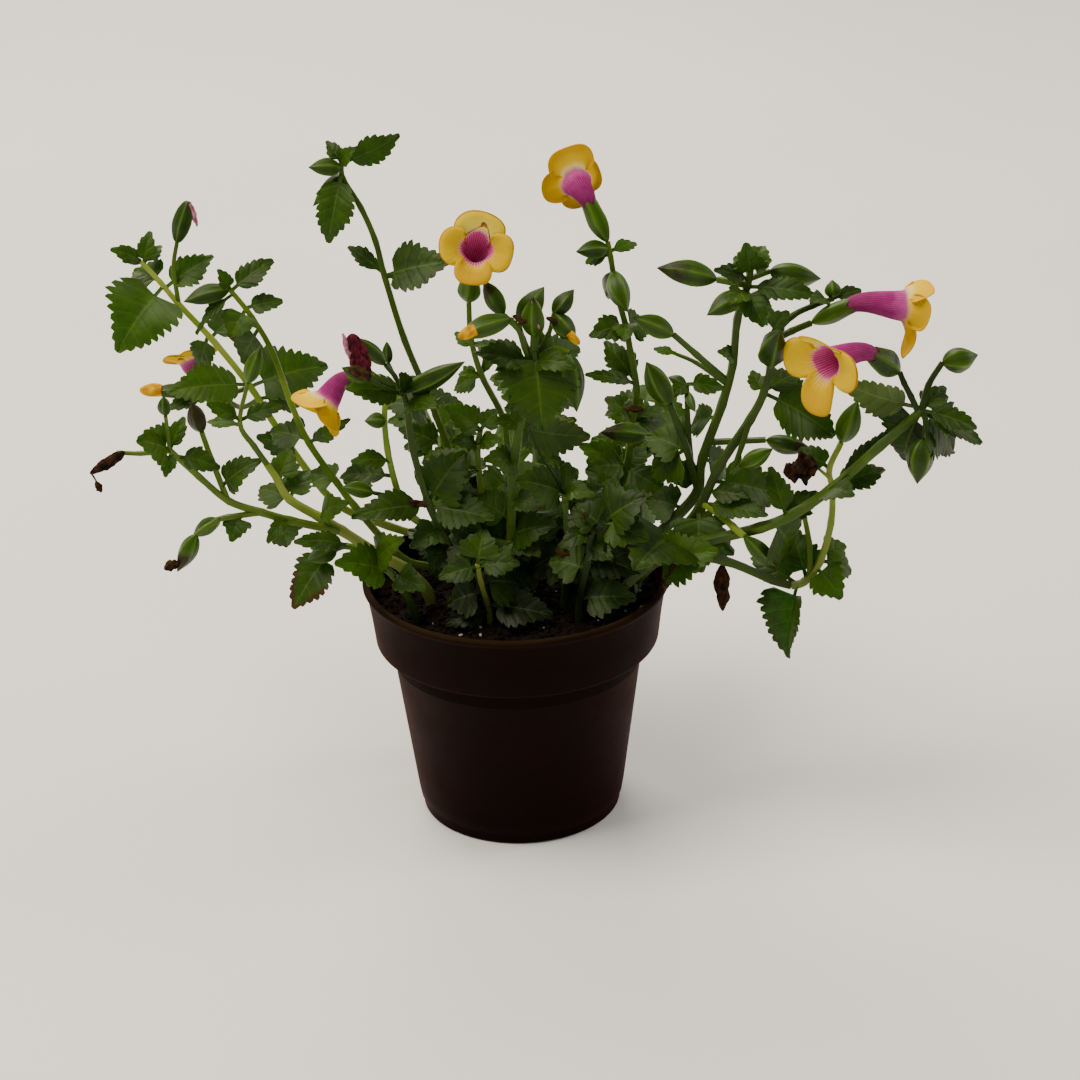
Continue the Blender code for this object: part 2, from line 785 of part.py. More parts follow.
def far_left_shoot():
    shoot = Shoot("shoot_far_left")
    shoot.stem((-22, 30), [(-45, 111), (-63.7, 121), (-80.6, 147), (-90.6, 165.6), (-102, 182.6),
                           (-113, 196.5), (-119, 205), (-125, 212.6)], 62, (3.6, 2.0))
    shoot.twig([(-113, 197), (-114, 210), (-112, 220)], 2)
    shoot.twig([(-90.6, 165.6), (-100, 163), (-112, 164.2)], -6)
    shoot.twig([(-88, 161), (-94, 158), (-99, 160.5)], 6)
    shoot.bud((-112, 219.4), (-107.3, 233.4), 6.8)
    shoot.bud((-112, 164.2), (-123.5, 164.8), 5.6, 0, "blunt")
    shoot.hang("bud_tip_far_left", (-123.5, 164.8), (-128.4, 165.2), 5.0, YELLOW, 0.5, 0, "knob")
    shoot.bud((-125, 212), (-131.5, 213.5), 3.2)
    shoot.leaf((-118, 203.5), (-136.3, 180.3), 26, -14, 4)
    shoot.leaf((-117, 203), (-100, 214), 11, 6)
    shoot.leaf((-119, 205), (-128, 209.5), 9, 10)
    shoot.leaf((-124, 211.5), (-121, 223.5), 7.5, 4)
    shoot.leaf((-125, 212.6), (-134.5, 217.6), 5.5, -4, 1)
    shoot.leaf((-124, 212), (-117.5, 218), 4.5, 8, 1)
    shoot.leaf((-91, 166.3), (-119.5, 164.7), 14, -12, 3)
    shoot.leaf((-90.6, 165.6), (-63, 173.8), 19, 10, 4)
    shoot.leaf((-88, 161), (-71.5, 161), 9, 12)
    shoot.leaf((-105, 163.5), (-120, 158.4), 6, -8)
    shoot.leaf((-103, 184), (-93, 193), 8, 16)
    shoot.leaf((-104, 185), (-108, 172), 8, 18)
    return shoot


def left_upper_shoot():
    shoot = Shoot("shoot_left_upper")
    shoot.stem((-29, 12), [(-41, 98.5), (-56.5, 119), (-62.4, 128.4), (-71.5, 144), (-77, 159.6),
                           (-82, 178), (-88.5, 191.6), (-95.4, 201.8)], 34, (3.4, 2.0))
    shoot.bud((-95.4, 201.8), (-111.6, 197.6), 7.6, -5)
    shoot.leaf((-95, 201), (-79.8, 212.3), 8.5, 8)
    shoot.leaf((-95.4, 201.8), (-98.7, 209), 4.5, -3, 1)
    shoot.leaf((-94, 200), (-108.5, 186), 3.2, -6, 1, 30)
    shoot.leaf((-90, 194.5), (-96.5, 183.8), 12, -6)
    shoot.leaf((-90, 195), (-77.4, 197), 7, 5)
    shoot.leaf((-86.5, 187), (-92.5, 174.5), 9, 8)
    shoot.leaf((-71.5, 144), (-57, 152.3), 5, -6, 1, 35)
    shoot.leaf((-72, 145), (-85, 149), 9, 10)
    shoot.leaf((-60, 124), (-50, 131), 7, 12)
    return shoot


def left_low_shoot():
    shoot = Shoot("shoot_left_low")
    shoot.stem((-31, -8), [(-40, 94), (-48.4, 99.5), (-61.5, 109.5), (-69.4, 115.2), (-79.6, 122.4),
                           (-83.6, 130.5), (-86.7, 136)], -2, (4.8, 2.6))
    shoot.twig([(-86.7, 136), (-90.7, 143), (-95.2, 152), (-91.5, 167)], -6, (2.2, 1.7))
    shoot.twig([(-61, 109), (-79.6, 114), (-89.6, 117.5), (-101.2, 122.3), (-111, 132),
                (-120.5, 142.3)], -16, (3.0, 2.3))
    shoot.twig([(-120.5, 142.3), (-121, 155.5)], -3, (1.7, 1.5))
    shoot.twig([(-120.5, 142), (-131, 141.4), (-139, 142)], -6, (1.9, 1.5))
    shoot.twig([(-101.5, 122.5), (-105.7, 137), (-108.8, 149)], 2, (2.4, 2.0))
    shoot.hang("dried_bud_left", (-139, 142), (-148.4, 134.4), 5.2, DRIED, SINK + GAP)
    shoot.twig([(-89.6, 117.5), (-101.6, 116), (-105, 115.3)], -6, (2.2, 2.0))
    shoot.twig([(-105, 115.3), (-110, 112), (-113.5, 109.5)], -2, (2.2, 1.8))
    shoot.bud((-91.5, 167), (-86, 180.7), 5.4)
    shoot.bud((-108.8, 148.8), (-111.6, 160.4), 7)
    shoot.bud((-121, 155.5), (-121.2, 163), 5)
    shoot.bud((-105, 115.3), (-115, 108.8), 6.2)
    shoot.bud((-113.5, 109.5), (-121.5, 94.8), 7)
    shoot.leaf((-95, 153), (-79.4, 158.8), 6.5, 4)
    shoot.leaf((-95, 153), (-106.5, 159.7), 5, -5, 1)
    shoot.leaf((-95, 151), (-106.5, 152.8), 4, 5, 1)
    shoot.leaf((-120.5, 142.3), (-114.4, 155), 6.5, 5)
    shoot.leaf((-120.5, 142.3), (-132, 146.5), 11, -8)
    shoot.leaf((-120.5, 141), (-123, 132), 5.5, -4, 1)
    shoot.leaf((-118, 140), (-103, 135.4), 8.5, 6)
    shoot.leaf((-102.5, 128), (-90, 138), 8.5, -5)
    shoot.leaf((-97, 116.3), (-101.5, 106.5), 9.5, -6)
    shoot.leaf((-80, 116), (-88.5, 105.5), 5, -8, 1, 0, 0.2)
    shoot.leaf((-79.6, 122.4), (-72, 134), 8, 12)
    shoot.leaf((-69, 115), (-60, 121), 6, -10)
    return shoot


def left_rim_shoot():
    shoot = Shoot("shoot_left_rim")
    shoot.stem((-36, -22), [(-43, 90), (-53, 99.5), (-60, 103.5), (-66, 101.5)], -26, (3.0, 2.0))
    shoot.bud((-64, 102.3), (-74.5, 98), 7.5, -4)
    shoot.leaf((-66, 101.5), (-81, 79), 14.5, -8, 3)
    shoot.leaf((-60, 103.5), (-77.5, 106.6), 5.5, -6, 1)
    shoot.leaf((-46, 93), (-64, 97.5), 10, -8)
    shoot.leaf((-50, 96.5), (-40, 106), 8, -10)
    shoot.leaf((-44, 91), (-33, 86), 8, -9)
    return shoot


def tall_shoot():
    shoot = Shoot("shoot_tall")
    shoot.stem((-9, 19), [(-14, 112), (-23, 141.8), (-28, 158.3), (-36.2, 181.7), (-42, 205),
                          (-44.6, 218), (-49, 230), (-54.4, 240.2), (-54.8, 246)], 30, (3.1, 2.0))
    shoot.bud((-54.8, 244), (-66, 244.6), 6.8, -4)
    shoot.bud((-54.4, 242), (-65.3, 230.8), 6, 5)
    shoot.leaf((-54.8, 246), (-34.6, 255.2), 9.5, 6, 2, 50)
    shoot.leaf((-54.8, 246), (-59.4, 254), 5, 4, 1)
    shoot.leaf((-54.6, 243), (-60.8, 217.6), 13.5, -9, 3)
    shoot.leaf((-54.8, 246), (-49.5, 251), 4.5, -4, 1)
    shoot.leaf((-42.2, 206), (-54, 216), 5.5, 8, 1)
    shoot.leaf((-42, 205), (-18.6, 210), 14.5, -8, 3)
    shoot.leaf((-42, 205), (-29.5, 203), 5.5, 6, 1)
    shoot.leaf((-23, 141.8), (-12, 152), 8, 14)
    return shoot


def left_centre_shoot():
    shoot = Shoot("shoot_left_centre")
    shoot.stem((-15, -10), [(-22, 99), (-29.8, 118), (-35, 140.6), (-36.5, 157.6), (-37.5, 162)],
               -14, (3.4, 2.4))
    shoot.twig([(-25, 106), (-36, 114), (-40.4, 122), (-44, 141), (-43.9, 157.6), (-39, 161)], 2, (2.6, 2.2))
    shoot.twig([(-37.5, 161), (-42.3, 173.5)], 4, (1.6, 1.4))
    shoot.twig([(-37.5, 161), (-40, 168), (-43.2, 172.6)], -5, (1.8, 1.7))
    shoot.twig([(-38, 161), (-44, 164), (-49, 167)], -9, (1.8, 1.5))
    shoot.twig([(-38, 161.5), (-42, 166.5), (-46, 168.5)], 9, (1.9, 1.8))
    shoot.twig([(-40.4, 122), (-49.6, 124)], -6, (1.7, 1.5))
    shoot.bud((-37.5, 162), (-15.4, 173.2), 7.6, -6)
    shoot.bud((-42.3, 173), (-42.4, 181.4), 4)
    shoot.bud((-43.2, 172.4), (-52.6, 183), 5.6, -2)
    shoot.hang("dried_corolla", (-52.6, 183), (-50.2, 166), 6.0, MAROON, GAP, -8)
    shoot.bud((-49, 167), (-58.6, 172), 5.4, -3)
    shoot.bud((-44, 151.5), (-51.6, 151.7), 6, -3)
    shoot.bud((-49.6, 124), (-61, 126.6), 6, -3)
    shoot.leaf((-37.5, 161), (-57.2, 164.6), 9.5, -14)
    shoot.leaf((-37.5, 162), (-33, 168.5), 5, 4, 1)
    shoot.leaf((-37.5, 162), (-38.5, 169.5), 4.5, -5, 1)
    shoot.leaf((-36.6, 158), (-26, 156.5), 7, -9)
    shoot.leaf((-36.6, 158), (-29, 151), 6, 8)
    shoot.leaf((-43, 136), (-56.5, 137), 5.5, -6, 1)
    shoot.leaf((-42.5, 130), (-62, 131.5), 8, 8)
    shoot.leaf((-30, 118.5), (-57.5, 115.5), 9.5, -9, 3)
    shoot.leaf((-30, 118), (-7, 112.5), 12.5, -9, 3)
    shoot.leaf((-30.5, 120), (-17, 139.5), 19, 6, 3)
    shoot.leaf((-26, 109), (-37, 103), 9, -10)
    shoot.leaf((-24, 104), (-31, 93), 9, -8)
    shoot.leaf((-23, 102), (-38, 109), 12, 10)
    return shoot


def bloom_centre_shoot():
    shoot = Shoot("shoot_bloom_centre")
    shoot.stem((4, 16), [(1.5, 118), (-1.5, 140), (-3, 152), (-10, 168), (-13.2, 182), (-13.5, 195)],
               2, (3.0, 2.1))
    shoot.leaf((-10, 168), (-18, 168.3), 3, -3, 1)
    shoot.leaf((-10, 168), (-5.5, 175.5), 3.5, 5, 1)
    shoot.leaf((-10, 167.6), (-20, 163), 6.5, 7)
    shoot.leaf((-12.6, 178), (-18.8, 184), 4.5, 5, 1)
    shoot.leaf((1, 122), (14, 127), 8, 12)
    shoot.leaf((1, 120), (-12, 129), 8, 12)
    shoot.leaf((1.5, 118), (16, 134), 14, 14, 3)
    shoot.leaf((0.5, 128), (-15, 117), 13, 14, 3)
    return shoot


def centre_left_shoot():
    shoot = Shoot("shoot_centre_left")
    shoot.stem((-10, 3), [(-10, 109), (-11.5, 125), (-12.2, 140), (-11, 147)], -6, (3.0, 2.2))
    shoot.leaf((-11, 147), (-22.5, 156.6), 8.5, -4)
    shoot.leaf((-11, 147), (-20.8, 149), 6.5, 6)
    shoot.leaf((-12, 142), (-21.5, 142.8), 5, -7, 1)
    shoot.leaf((-11, 147), (-5, 154.5), 7, 8)
    shoot.leaf((-12, 142), (-3.5, 143), 4.5, -6, 1)
    shoot.leaf((-11.8, 132), (-28, 120.5), 5, -11, 1, 0, 0.2)
    shoot.leaf((-11.8, 132), (-32.5, 136.5), 11, 8, 3)
    shoot.leaf((-10.4, 113), (-27, 117), 13, -12)
    shoot.leaf((-10.2, 110), (-20, 101), 13, -16)
    shoot.leaf((-10.4, 113), (-2, 104), 9, -10)
    return shoot


def centre_shoot():
    shoot = Shoot("shoot_centre")
    shoot.stem((-4, -8), [(-1.5, 104), (0, 130), (3, 150), (6.5, 162), (8, 171), (9, 183)],
               -14, (4.0, 3.4))
    shoot.twig([(7.8, 170), (5.2, 178), (3.4, 184.5), (0.4, 188.4)], -5, (2.3, 2.0))
    shoot.twig([(8, 173), (5, 181), (3.4, 187)], 7, (2.0, 1.9))
    shoot.twig([(3.4, 184.5), (1.2, 187), (-1.6, 190)], 5, (1.9, 1.7))
    shoot.twig([(8.2, 173), (13.5, 182), (15.6, 190)], 5, (2.0, 1.7))
    shoot.twig([(8, 171.5), (15, 177), (20.5, 175.5)], -4, (2.1, 2.0))
    shoot.bud((9, 181.5), (8.6, 196.5), 8.6, -4)
    shoot.bud((3.4, 187), (12.6, 200), 8.8, 3)
    shoot.bud((0.4, 188.4), (-11.4, 184.4), 8.0, -5, "blunt")
    shoot.hang("bud_tip_centre", (-11.4, 184.4), (-15.6, 182.9), 6.2, YELLOW, 0.5, -5, "knob")
    shoot.bud((-1.6, 190), (-8.2, 203), 7.2, 3)
    shoot.bud((15.6, 189.5), (22.8, 198.8), 6.8, 2)
    shoot.bud((15.6, 189.8), (22, 181.2), 7.8, -5, "blunt")
    shoot.hang("bud_tip_right", (22, 181.2), (24.4, 177.8), 5.4, YELLOW, 0.7, -5, "knob")
    shoot.bud((20.5, 175.5), (23, 153), 9, -3)
    shoot.leaf((7.8, 171), (11.5, 139), 27, -12, 4)
    shoot.leaf((7.8, 170.5), (-12.8, 175.8), 7.5, -6, 2, 20)
    shoot.leaf((8, 172), (-12.6, 180.6), 7, 9)
    shoot.leaf((8, 171), (22.5, 170.5), 5.5, -12, 1, 0, 0.16)
    shoot.leaf((8.2, 174), (25, 177), 10, 12)
    shoot.leaf((3, 149), (-6.2, 150.5), 5.5, -4, 1)
    shoot.leaf((3, 150), (0.6, 159), 4.5, -5, 1)
    shoot.leaf((2.6, 148), (27.6, 143.4), 11.5, 4, 3)
    shoot.leaf((0.4, 134), (-9, 136.5), 7, -9)
    shoot.leaf((-1.4, 106), (14.5, 110.5), 11.5, -9)
    shoot.leaf((-1.4, 105), (9, 98), 8.5, -12)
    shoot.leaf((-0.6, 120), (12, 117), 8, -9)
    return shoot


def centre_right_shoot():
    shoot = Shoot("shoot_centre_right")
    shoot.stem((17, -13), [(19, 94), (18.6, 110), (18.2, 122)], -14, (3.2, 2.4))
    shoot.twig([(18.2, 121), (14, 130), (9.5, 138), (6, 148.5)], -12, (1.4, 1.2))
    shoot.leaf((18.2, 122), (0.8, 127.6), 13, -7, 3)
    shoot.leaf((18.2, 122), (19.6, 134), 8.5, 8)
    shoot.leaf((18.2, 121), (28.4, 121.5), 5.5, -9, 1, 0, 0.18)
    shoot.leaf((18.6, 112), (7, 118.5), 8, 9)
    shoot.leaf((18.8, 97), (11.5, 86), 8, -6)
    shoot.leaf((18.9, 92), (29, 88), 9, -12)
    shoot.leaf((18.4, 116), (33, 125), 13, 8, 3)
    return shoot


def soil_leaves_shoot():
    shoot = Shoot("shoot_front_right")
    shoot.stem((22, -25), [(23.5, 84), (26, 95), (27.5, 106), (33, 111)], -28, (3.0, 2.0))
    shoot.leaf((24, 80), (43, 80.5), 13, -4, 3)
    shoot.leaf((31, 109), (21.4, 117.6), 14, 4)
    shoot.leaf((33, 111), (46, 120.5), 15, -4, 3)
    shoot.leaf((32, 110.5), (47.5, 103.5), 14, -8, 3)
    shoot.leaf((27.5, 106), (15.4, 100.4), 6, -7, 2, 0, 0.22)
    shoot.leaf((27, 100), (35, 96), 8, -6)
    return shoot


def front_shoot():
    shoot = Shoot("shoot_front")
    shoot.stem((-9.4, -24), [(-10.6, 80), (-12.6, 88), (-13.6, 95)], -28, (2.4, 2.0))
    shoot.leaf((-13.4, 94), (-28, 90), 9.5, -3)
    shoot.leaf((-13.6, 95), (-11, 109), 15, 6, 3)
    shoot.leaf((-13.4, 94), (1.5, 95), 8, -3)
    shoot.leaf((-10, 76), (-26.5, 71.6), 8.5, -4)
    shoot.leaf((-10.4, 78.5), (13, 74), 13, -5, 3)
    shoot.leaf((-11.5, 84), (-25.5, 79.5), 14, 8)
    return shoot


def bloom_top_shoot():
    shoot = Shoot("shoot_bloom_top")
    shoot.stem((21, 16), [(31, 108), (40, 131), (42.3, 149), (44, 161), (42, 175), (40.4, 185),
                          (37.5, 197), (35.5, 210), (34.6, 215.6)], 26, (3.4, 2.1))
    shoot.twig([(41.5, 139), (45, 141), (48.4, 143.5)], -7, (2.0, 1.8))
    shoot.bud((34.8, 213), (23.6, 212.3), 7, -4)
    shoot.bud((36.8, 205.5), (41.2, 189.8), 8.4, -6)
    shoot.bud((36.4, 204.5), (34.6, 194.8), 8, 5)
    shoot.bud((48.4, 143.5), (31, 145.2), 8, -5)
    shoot.leaf((35.3, 212), (44.8, 215.2), 4.2, 5, 1)
    shoot.leaf((35.3, 211), (26.8, 208.2), 4.2, 4, 1)
    shoot.leaf((40.4, 185), (27.8, 181.6), 9, -6)
    shoot.leaf((40.4, 185), (48, 184), 8.5, 6, 1)
    shoot.leaf((40.4, 186), (40.2, 179), 5.5, -7, 1)
    shoot.leaf((43.8, 164), (33, 179.6), 10, 8)
    shoot.leaf((43.8, 163), (26.4, 167.4), 4.2, -7, 1)
    shoot.leaf((42.4, 150), (35.4, 151), 4, -5, 1)
    shoot.leaf((42.4, 150), (53.8, 154), 4, 7, 1)
    shoot.leaf((42.4, 149), (54.6, 148.5), 7, 9)
    shoot.leaf((42, 147), (42, 158), 6.5, 10)
    shoot.leaf((40, 132), (26.2, 131.6), 8.5, -7)
    shoot.leaf((40, 131), (54.2, 121), 9.5, -9)
    shoot.leaf((39, 129), (29, 123.5), 8, 8)
    shoot.leaf((40, 131), (47, 139), 7, 11)
    shoot.leaf((34, 115), (21, 103), 15, 10, 3)
    shoot.leaf((37, 123), (51, 112), 14, 12, 3)
    return shoot


def right_top_shoot():
    shoot = Shoot("shoot_right_top")
    shoot.stem((29, 5), [(42, 97), (57, 111), (65.5, 122), (67, 134), (74, 155), (77.6, 170),
                         (79, 186), (82.5, 199), (83.5, 205)], -8, (4.4, 2.6))
    shoot.twig([(65.4, 122), (61.5, 138), (58.5, 147), (55.5, 155.5)], -6, (3.2, 2.6))
    shoot.twig([(63.5, 131), (62, 147), (61.5, 162.5)], 4, (2.4, 2.0))
    shoot.twig([(76.3, 163), (65, 173.5), (57, 181.2)], -5, (2.4, 2.0))
    shoot.twig([(75.8, 162), (65, 170.4), (57.8, 174)], 6, (1.7, 1.3))
    shoot.twig([(82, 199), (72, 201)], 4, (2.8, 2.4))
    shoot.twig([(82.5, 201), (90, 203.6)], 4, (2.2, 2.0))
    shoot.twig([(69, 140.5), (80, 140.6), (89.4, 140.8)], -2, (2.5, 2.2))
    shoot.bud((55.5, 155), (47.4, 171.4), 9.4, -2)
    shoot.bud((57, 181), (42.8, 188), 8, -2)
    shoot.bud((72, 201), (51.2, 205.8), 9.4, 2)
    shoot.bud((79.8, 196), (68.4, 188), 8, -6)
    shoot.bud((90, 203.4), (107.8, 200.4), 9.4, 3)
    shoot.bud((89.4, 140.8), (105.5, 137), 7.2, -3)
    shoot.bud((61.8, 160), (64.6, 152), 3.8, -4)
    shoot.bud((61.5, 162), (55, 165.6), 4.4, 4)
    shoot.leaf((61.5, 162.5), (74.6, 161.2), 7, -5)
    shoot.leaf((61.5, 162.5), (55.6, 158), 4.4, -5, 1)
    shoot.leaf((61.8, 143), (57.8, 151.7), 2.6, -4, 1)
    shoot.leaf((62, 137), (46.8, 144.4), 13.5, 9)
    shoot.leaf((64.5, 126), (52, 131.5), 9, 6)
    shoot.leaf((57.8, 174), (50, 176), 3.2, 2, 1)
    shoot.leaf((77.8, 172), (72.8, 174.9), 3.6, -5, 1)
    shoot.leaf((83, 203), (82, 213.4), 8, -5)
    shoot.leaf((83.5, 205), (90.6, 208), 8, -5, 1)
    shoot.leaf((83.5, 205), (88, 213.4), 7, 5)
    shoot.leaf((83, 202.5), (77.8, 209), 7, 6, 1)
    shoot.leaf((82.6, 200.5), (70.8, 204.6), 4.4, -6, 1)
    shoot.leaf((81.5, 196.5), (76, 191.8), 5, -8, 1)
    shoot.leaf((81.8, 197), (88.2, 184), 11, -10)
    shoot.leaf((82, 198), (106.5, 194.6), 7.5, -8)
    shoot.leaf((79.5, 190), (92, 187), 7, 8)
    shoot.leaf((67, 134), (77, 128), 8, 10)
    shoot.leaf((72, 150), (62, 146), 7, 9)
    shoot.leaf((46, 101), (20.5, 109.5), 25, -16, 4)
    shoot.leaf((42.5, 97.5), (29.5, 88.5), 12, -10)
    return shoot


def right_middle_shoot():
    shoot = Shoot("shoot_right_middle")
    shoot.stem((35, -5), [(46, 96), (58, 105), (66, 115), (73, 131), (84, 149), (88.4, 158.5),
                          (90.6, 168), (91.4, 181)], -26, (4.2, 2.6))
    shoot.twig([(67, 117), (72, 113.5), (78, 107.5), (82, 103.6)], -8, (2.5, 2.2))
    shoot.twig([(83.5, 148.5), (81, 139), (77.5, 128)], -4, (2.5, 2.0))
    shoot.twig([(77.5, 128.5), (80.5, 131)], -1, (2.0, 1.9))
    shoot.twig([(91.2, 178), (98, 181.5), (104.6, 184.3)], 4, (2.4, 2.2))
    shoot.twig([(91.4, 180), (98, 187), (105, 190.5), (112, 193)], 12, (2.2, 1.8))
    shoot.bud((82, 103.6), (94.2, 89.8), 6.8, -4)
    shoot.bud((80.5, 131), (92, 137.4), 6.6, -3)
    shoot.bud((90.8, 169), (94, 182), 10, -8)
    shoot.bud((112, 193), (111.5, 200), 6, 2)
    shoot.leaf((112, 193), (121.8, 196), 4.2, 3, 1)
    shoot.leaf((110, 192.2), (104.4, 192.2), 4.4, -5, 1)
    shoot.leaf((88.4, 158.5), (113.6, 141.4), 15, 5, 4)
    shoot.leaf((88.6, 159), (101.4, 166.6), 7.5, 9)
    shoot.leaf((88.4, 158.5), (84, 167), 6, 8)
    shoot.leaf((69, 121), (84, 118.8), 6, -9)
    shoot.leaf((68, 117), (90.4, 111.4), 8, -14)
    shoot.leaf((71, 125), (95.4, 118.6), 14, 10, 3)
    shoot.leaf((59, 106), (78.5, 96.5), 19.5, -12, 4)
    shoot.leaf((57, 104.5), (42.5, 94), 14, -14, 3)
    shoot.leaf((60, 107), (75, 101), 10, 8)
    shoot.leaf((91.4, 181), (97, 189), 5.5, -6, 1)
    return shoot


def right_far_shoot():
    shoot = Shoot("shoot_right_far")
    shoot.stem((38, -14), [(54, 98), (66, 101.5), (88, 106.8), (100, 112), (113, 121.5),
                           (130, 137.5), (138, 145), (144, 150.5)], -40, (4.0, 2.8))
    shoot.twig([(143, 149.5), (140, 156), (137.5, 161), (135.8, 165.2)], 4, (2.5, 2.2))
    shoot.twig([(143.6, 150.3), (146, 160), (150.6, 168.4)], 6, (2.5, 2.2))
    shoot.twig([(144, 150.5), (145.6, 146), (145, 139.5)], -5, (2.4, 2.2))
    shoot.bud((150.6, 168.2), (163, 171), 9.2, 3)
    shoot.bud((145, 140), (143.3, 122.3), 9.8, -3)
    shoot.leaf((142.4, 152.5), (116.8, 161.4), 10.5, 12, 3)
    shoot.leaf((144, 150.5), (152, 159), 7, 4)
    shoot.leaf((144, 150.5), (137.4, 130.6), 14.5, 2, 3)
    shoot.leaf((144, 150.5), (155.5, 134.6), 14, 5, 3)
    shoot.leaf((144, 150.5), (163.8, 143.2), 7.2, -2)
    shoot.leaf((144.4, 149.5), (165.4, 137.2), 6.2, 5)
    shoot.leaf((114, 122.5), (135.8, 145.6), 5.4, 9, 1)
    shoot.leaf((113, 121.5), (131.8, 128.6), 9.5, 6)
    shoot.leaf((112, 121), (120, 119.4), 7.5, -8, 1)
    shoot.leaf((96, 110), (108, 120), 9, 9)
    shoot.leaf((97, 110.5), (91, 130.5), 8.5, 6)
    return shoot


def right_low_shoot():
    shoot = Shoot("shoot_right_low")
    shoot.stem((33, -25), [(44, 90), (58, 96), (75, 94), (92, 86), (99, 83.5), (104, 85), (109.5, 93),
                           (113, 108), (113.2, 121), (112, 129), (116, 139)], -16, (3.8, 2.2))
    shoot.twig([(106, 87.5), (105.4, 100), (103, 113)], 8, (2.4, 2.0))
    shoot.twig([(112.6, 125), (108.4, 129)], -3, (1.3, 1.0))
    shoot.hang("dried_flower_right", (108.4, 129), (96.2, 131.6), 8.6, DRIED, SINK + GAP)
    shoot.hang("dried_pod_right", (74.6, 94), (74.6, 73.8), 5.6, DRIED, 2.0)
    shoot.bud((116, 139), (121.5, 155.2), 8.8, -2)
    shoot.leaf((100, 83.7), (101.4, 53.8), 12.5, -6, 3, 18)
    shoot.leaf((110.4, 96.5), (118.5, 98.5), 7.5, 5, 1)
    shoot.leaf((108, 90.5), (117.6, 77.6), 13, -6)
    shoot.leaf((109.5, 93), (121.2, 88.4), 8.5, 7)
    shoot.leaf((104.4, 86), (98.5, 107.5), 13, 9, 3)
    shoot.leaf((103.4, 110), (96, 119), 8, 6)
    shoot.leaf((112.2, 129), (101, 137), 8, 8)
    shoot.leaf((101, 84), (84.5, 95.5), 10, 8)
    return shoot


def back_shoots():
    """Three lower shoots lean away from the viewer and round off the plant's hidden side."""
    draw = random.Random(7)
    routes = (("shoot_back_left", (-14, 36), (-34, 80), 118), ("shoot_back_middle", (7, 35), (9, 84), 124),
              ("shoot_back_right", (28, 27), (50, 72), 120))
    for name, root, lean, height in routes:
        shoot = Shoot(name)
        places = []
        for share in (0.35, 0.7, 1.0):
            x = root[0] + (lean[0] - root[0]) * share
            y = root[1] + (lean[1] - root[1]) * share
            z = SOIL_TOP + 5.0 + (height - SOIL_TOP) * share ** 0.8
            places.append(on_board(Vector((x, y, z)))[:2])
        shoot.stem(root, places, lean[1], (3.2, 2.2))
        line = shoot.lines[0]
        for number in range(1, 4):
            for side in (-1.0, 1.0):
                base = line[number]
                reach = draw.uniform(15.0, 20.0)
                tip = (base[0] + side * reach * 0.85, base[1] + draw.uniform(-7.0, 5.0))
                shoot.leaf(base[:2], tip, reach * 0.6, draw.uniform(4.0, 14.0), 3)
        shoot.leaf(line[-1][:2], (line[-1][0] + 2.0, line[-1][1] + 7.0), 8, 16, 3)
        shoot.leaf(line[-1][:2], (line[-1][0] - 3.0, line[-1][1] - 8.0), 9, 15, 3)


def main():
    clear_scene()
    far_left = far_left_shoot()
    left_upper_shoot()
    left_low_shoot()
    left_rim_shoot()
    tall_shoot()
    left_centre = left_centre_shoot()
    bloom_centre = bloom_centre_shoot()
    centre_left_shoot()
    centre_shoot()
    centre_right_shoot()
    soil_leaves_shoot()
    front_shoot()
    bloom_top = bloom_top_shoot()
    right_top_shoot()
    right_middle = right_middle_shoot()
    right_far = right_far_shoot()
    right_low_shoot()
    back_shoots()

    Bloom("bloom_far_left", far_left, (-99, 160.5), (-102.5, 166), 6.4, (-109.5, 175.2),
          (-0.25, 0.5, 0.83), size=0.86, toward=10)
    Bloom("bloom_left", left_centre, (-46, 168.5), (-55.5, 168), 6.4, (-66.6, 158.6),
          (-0.5, -0.35, -0.79), size=0.86, toward=0, mouth_r=4.8)
    Bloom("bloom_centre", bloom_centre, (-13.5, 195), (-12.8, 203.5), 8.4, (-10.3, 214.2),
          (0.02, -0.93, 0.3), roll=-8, size=1.06, toward=-12)
    Bloom("bloom_top", bloom_top, (34.6, 215.6), (29, 228.6), 7.4, (24.4, 236.6),
          (-0.25, 0.93, 0.12), roll=-14, size=0.94, toward=9)
    Bloom("bloom_right", right_middle, (104.6, 184.3), (117, 190), 6.8, (136, 189.8),
          (0.97, 0.1, -0.1), size=0.96, curl=-1.4, toward=-3, droop=1.35)
    Bloom("bloom_right_low", right_far, (135.8, 165.2), (126.6, 171.6), 9.6, (110.6, 169.6),
          (-0.72, -0.66, 0.05), size=1.16, curl=0.2, toward=-9, droop=1.3)

    pot = make_pot()
    soil = make_soil()
    for piece in (pot, soil):
        mesh = piece.data
        points = [v.co / MM for v in mesh.vertices]
        take(piece.name, (points, [tuple(p.vertices) for p in mesh.polygons]))
    for shoot in Shoot.every:
        for solid in shoot.solids:
            take(shoot.name, solid)
    for bloom in Bloom.every:
        bloom.make()

    stamens(Bloom.every[2], 3.2, 9.0)
    for shoot in Shoot.every:
        shoot.grow_buds()
    for shoot in Shoot.every:
        shoot.grow_leaves()
    for shoot in Shoot.every:
        shoot.make()


main()
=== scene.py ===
"""Potted wishbone flower: a torenia with purple-throated yellow blooms in a black nursery pot."""

import math
import random
from functools import partial

import bmesh
import bpy
from mathutils import Matrix, Vector, noise
from mathutils.kdtree import KDTree


